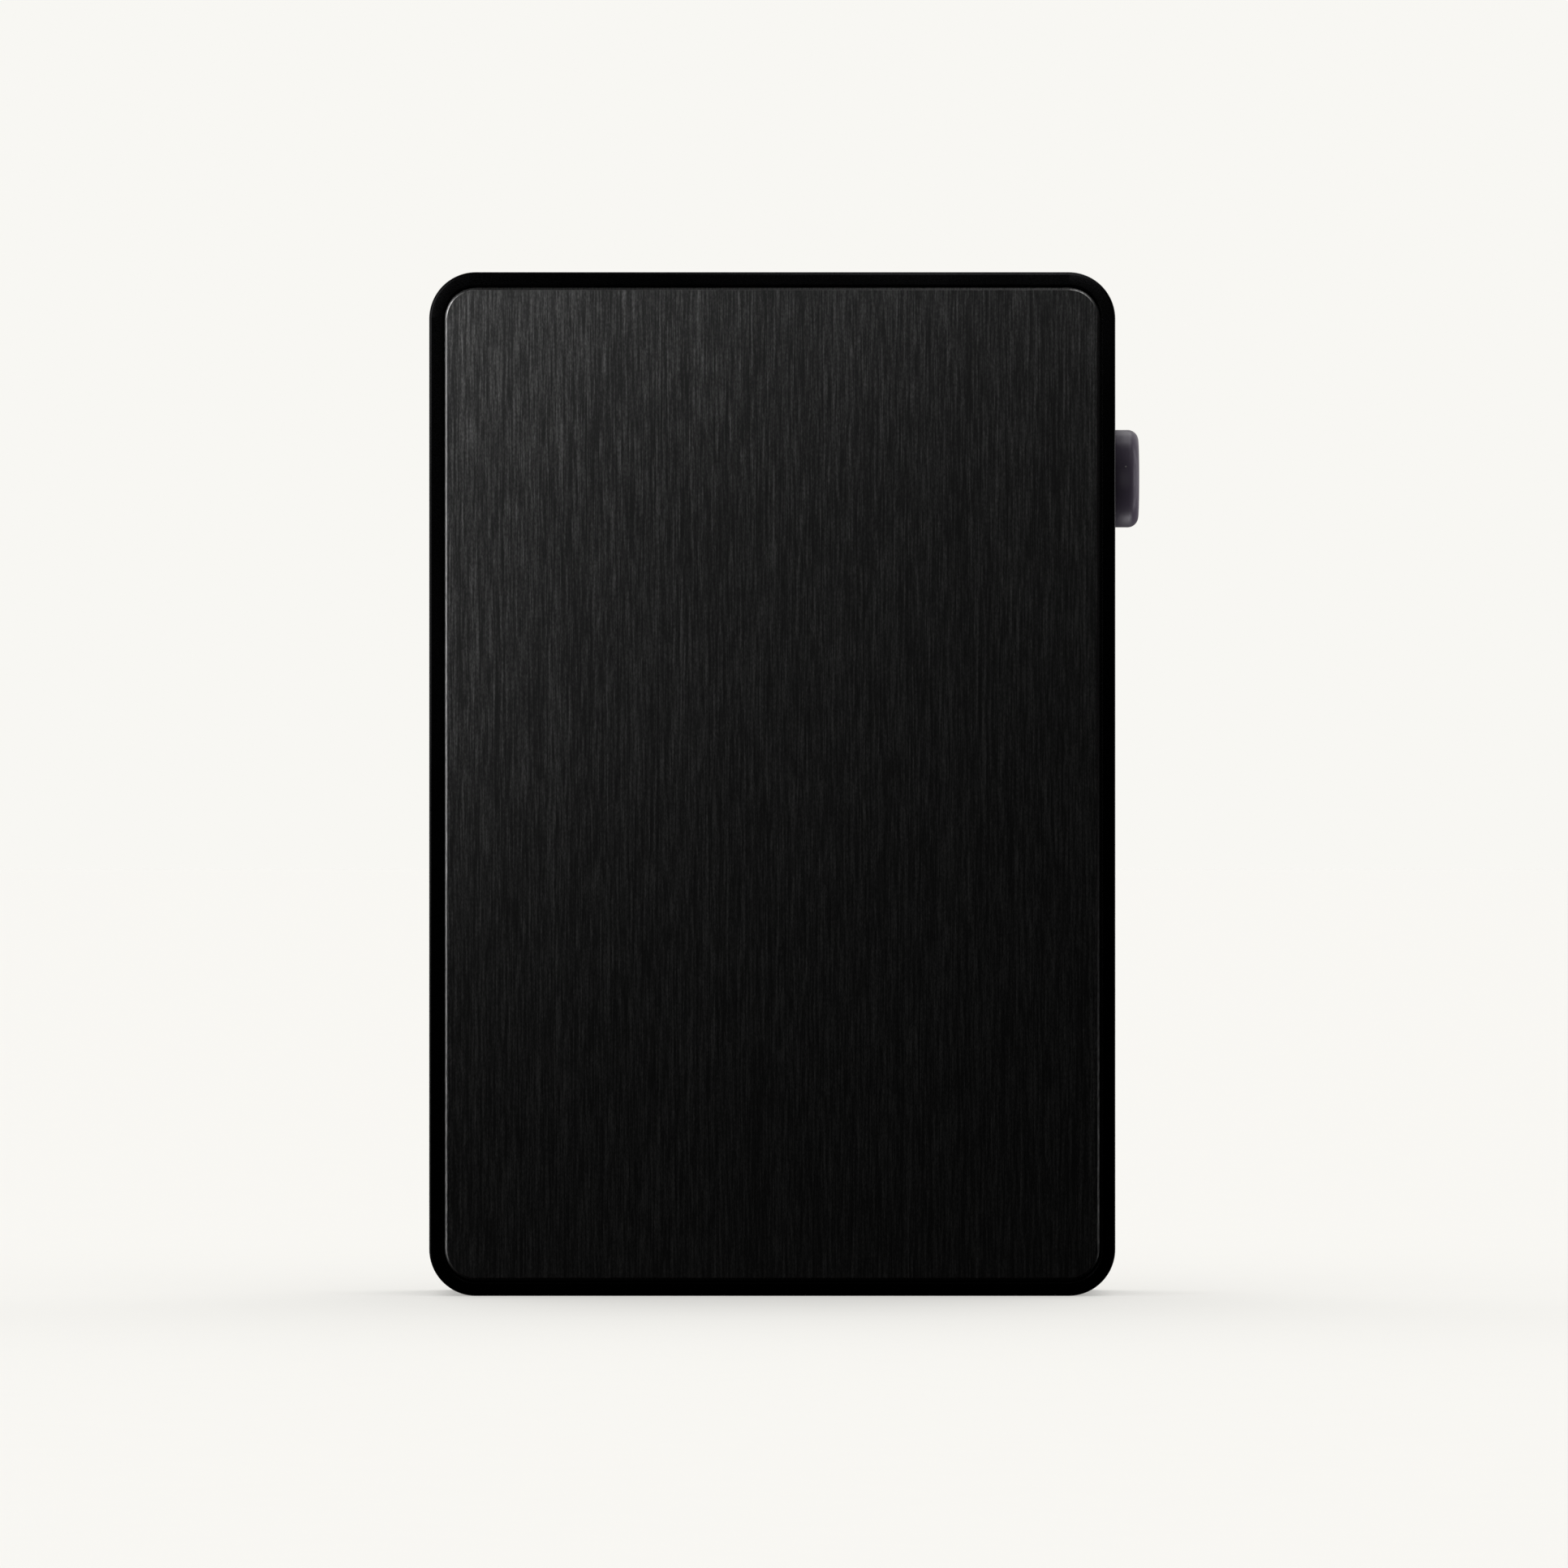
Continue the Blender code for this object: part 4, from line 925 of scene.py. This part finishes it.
# Each light: its name, place, target, size and power, in mm and milliwatts.
LIGHTS = (
    ("key_top", (20, -90, 135), (-15, 0, 70), (40, 40), 11.5),
    ("key_right", (60, -60, 150), (-15, 0, 70), (40, 40), 2.4),
    ("key_near", (-60, -50, 100), (-15, 0, 70), (40, 40), 7),
    ("near_middle", (-50, -32, 62), (-25, 0, 62), (24, 24), 0.8),
    ("near_low", (-70, -45, 45), (-25, 0, 50), (24, 24), 1.1),
    ("near_high", (-62, -45, 80), (-25, 0, 70), (24, 24), 0.3),
    ("left_strip", (-190, -110, 47), (0, 0, 47), (20, 160), 18.7),
    ("left_low", (-150, -150, -10), (0, 0, 47), (100, 120), 1.3),
    ("right_low", (160, -50, -10), (0, 0, 30), (20, 60), 0.9),
    ("above", (40, 30, 260), (30, 0, 75), (120, 60), 56),
    ("below", (40, 60, -110), (30, 0, 75), (120, 60), 84),
    ("above_behind", (30, 150, 260), (20, 0, 75), (160, 80), 66),
    ("below_behind", (30, 150, -110), (20, 0, 75), (160, 80), 20),
    ("right_panel", (240, 45, 80), (31, 0, 60), (80, 140), 60),
    ("left_panel", (-240, 60, 60), (-31, 0, 50), (80, 160), 65),
)
# The knob's own lights: a fill from the front, and three that draw the lit band by its outer corner.
KNOB_LIGHTS = (
    ("knob_fill", (20, -220, 72), (33, -7.5, 72), (140, 140), 25),
    ("knob_side", (170, -58, 74), (33, -7.5, 72), (16, 110), 44),
    ("knob_side_high", (155, 0, 160), (33, -7.5, 72), (24, 70), 26),
    ("knob_side_low", (155, 0, -16), (33, -7.5, 72), (24, 70), 26),
)
# What a light leaves alone. The lights from below would show as white patches on the frame's glossy
# sides, seen from above, and the key light would put a spot on the knob's rim.
LEFT_ALONE = {"below": "frame_shell", "below_behind": "frame_shell", "key_top": "knob"}


def camera():
    """A long lens, square to the back plate and at its middle height."""
    data = bpy.data.cameras.new("camera")
    data.lens = LENS
    data.sensor_width = 36.0
    data.clip_start = 0.01
    data.clip_end = 20.0
    made = bpy.data.objects.new("camera", data)
    made.location = Vector((CAMERA_X, BACK_Y - VIEW_DISTANCE, HEIGHT / 2)) * MM
    made.rotation_euler = (math.pi / 2, 0, 0)
    bpy.context.scene.collection.objects.link(made)
    bpy.context.scene.camera = made


def floor():
    """A plain pale floor, which the player's own light and reflections leave out."""
    bm = bmesh.new()
    half = FLOOR_HALF
    corners = [(-half, -half), (half, -half), (half, half), (-half, half)]
    bm.faces.new([bm.verts.new((x, y, 0.0)) for x, y in corners])
    mesh = bpy.data.meshes.new("floor")
    bm.to_mesh(mesh)
    bm.free()
    made = bpy.data.objects.new("floor", mesh)
    material, tree, shader = blank("floor_paper", 1.0, Specular_IOR_Level=0.0)
    fibres = noise(tree, 6.0, 3.0)
    tone = blended(
        tree,
        ranged(tree, fibres, 0, 1),
        solid([c * FLOOR_SHARE * 0.998 for c in PALE]),
        solid([c * FLOOR_SHARE * 1.002 for c in PALE]),
    )
    tree.links.new(tone, shader.inputs["Base Color"])
    mesh.materials.append(material)
    bpy.context.scene.collection.objects.link(made)
    made.visible_diffuse = False
    made.visible_glossy = False
    made.visible_shadow = False
    return made


def world():
    """A pale backdrop to the camera. To the player it is dim in front and brighter behind."""
    made = bpy.data.worlds.new("studio")
    made.use_nodes = True
    bpy.context.scene.world = made
    tree = made.node_tree
    tree.nodes.clear()
    seen = node(tree, "ShaderNodeBackground", {"Color": solid(PALE), "Strength": 1.0})
    direction = node(tree, "ShaderNodeTexCoord").outputs["Generated"]
    parts = node(tree, "ShaderNodeSeparateXYZ", {0: direction})
    behind = node(
        tree,
        "ShaderNodeMapRange",
        {
            "Value": parts.outputs["Y"],
            "From Min": 0.0,
            "From Max": 0.8,
            "To Min": WORLD_FRONT,
            "To Max": WORLD_BEHIND,
        },
        interpolation_type="SMOOTHSTEP",
    ).outputs["Result"]
    outwards = node(tree, "ShaderNodeMath", {0: parts.outputs["X"]}, operation="ABSOLUTE")
    height = node(
        tree,
        "ShaderNodeMath",
        {0: outwards.outputs[0], 1: 0.6, 2: parts.outputs["Z"]},
        operation="MULTIPLY_ADD",
    )
    sweep = node(
        tree,
        "ShaderNodeMapRange",
        {
            "Value": height.outputs[0],
            "From Min": 0.0,
            "From Max": 0.3,
            "To Min": WORLD_DIM,
            "To Max": 1.0,
        },
        interpolation_type="SMOOTHSTEP",
    ).outputs["Result"]
    level = node(tree, "ShaderNodeMath", {0: behind, 1: sweep}, operation="MULTIPLY").outputs[0]
    felt = node(tree, "ShaderNodeBackground", {"Color": solid((1.0, 0.98, 0.97)), "Strength": level})
    rays = node(tree, "ShaderNodeLightPath")
    both = node(
        tree,
        "ShaderNodeMixShader",
        {0: rays.outputs["Is Camera Ray"], 1: felt.outputs[0], 2: seen.outputs[0]},
    )
    out = node(tree, "ShaderNodeOutputWorld")
    tree.links.new(both.outputs[0], out.inputs["Surface"])


def linked_only(light, objects, state):
    """Makes a light reach these objects only, or everything but them."""
    group = bpy.data.collections.new(f"{light.name}_reach")
    for i, obj in enumerate(objects):
        group.objects.link(obj)
        group.collection_objects[i].light_linking.link_state = state
    light.light_linking.receiver_collection = group


def area_light(name, location, target, size, power):
    """A soft panel at a place, facing a target. Lengths are in mm and power in milliwatts."""
    data = bpy.data.lights.new(name, "AREA")
    data.shape = "RECTANGLE"
    data.size, data.size_y = size[0] * MM, size[1] * MM
    data.energy = power * MM
    made = bpy.data.objects.new(name, data)
    made.location = Vector(location) * MM
    aim = Vector(target) - Vector(location)
    made.rotation_euler = aim.to_track_quat("-Z", "Y").to_euler()
    made.visible_camera = False
    bpy.context.scene.collection.objects.link(made)
    return made


def sun(name, strength, casts_shadow, floor_object):
    """A very soft light from straight above, on the floor only, so that it matches the backdrop."""
    data = bpy.data.lights.new(name, "SUN")
    data.energy = strength
    data.angle = math.radians(120)
    data.use_shadow = casts_shadow
    made = bpy.data.objects.new(name, data)
    bpy.context.scene.collection.objects.link(made)
    linked_only(made, [floor_object], "INCLUDE")


def studio():
    """The floor, the lights, the surroundings and the camera."""
    floor_object = floor()
    for settings in LIGHTS:
        light = area_light(*settings)
        unlit = [floor_object]
        if light.name in LEFT_ALONE:
            unlit.append(bpy.data.objects[LEFT_ALONE[light.name]])
        linked_only(light, unlit, "EXCLUDE")
    for settings in KNOB_LIGHTS:
        linked_only(area_light(*settings), [bpy.data.objects["knob"]], "INCLUDE")
    sun("floor_light", FLOOR_SUN, True, floor_object)
    sun("floor_fill", FLOOR_SHADOWLESS_SUN, False, floor_object)
    world()
    camera()
    bpy.context.scene.view_settings.view_transform = "Standard"
    bpy.context.scene.view_settings.look = "None"


frame_shell()
rear_cover()
screen_glass()
knob()
index_dot()
for key_name in KEY_HALVES:
    key(key_name)
card_tray()
memory_card()
card_contacts()
for socket_name, bore in SOCKET_BORES.items():
    collar(socket_name, bore)
    socket(socket_name, bore)
    socket_springs(socket_name, bore)
usb_sleeve()
usb_contacts()
dress_cad_nodes()
studio()
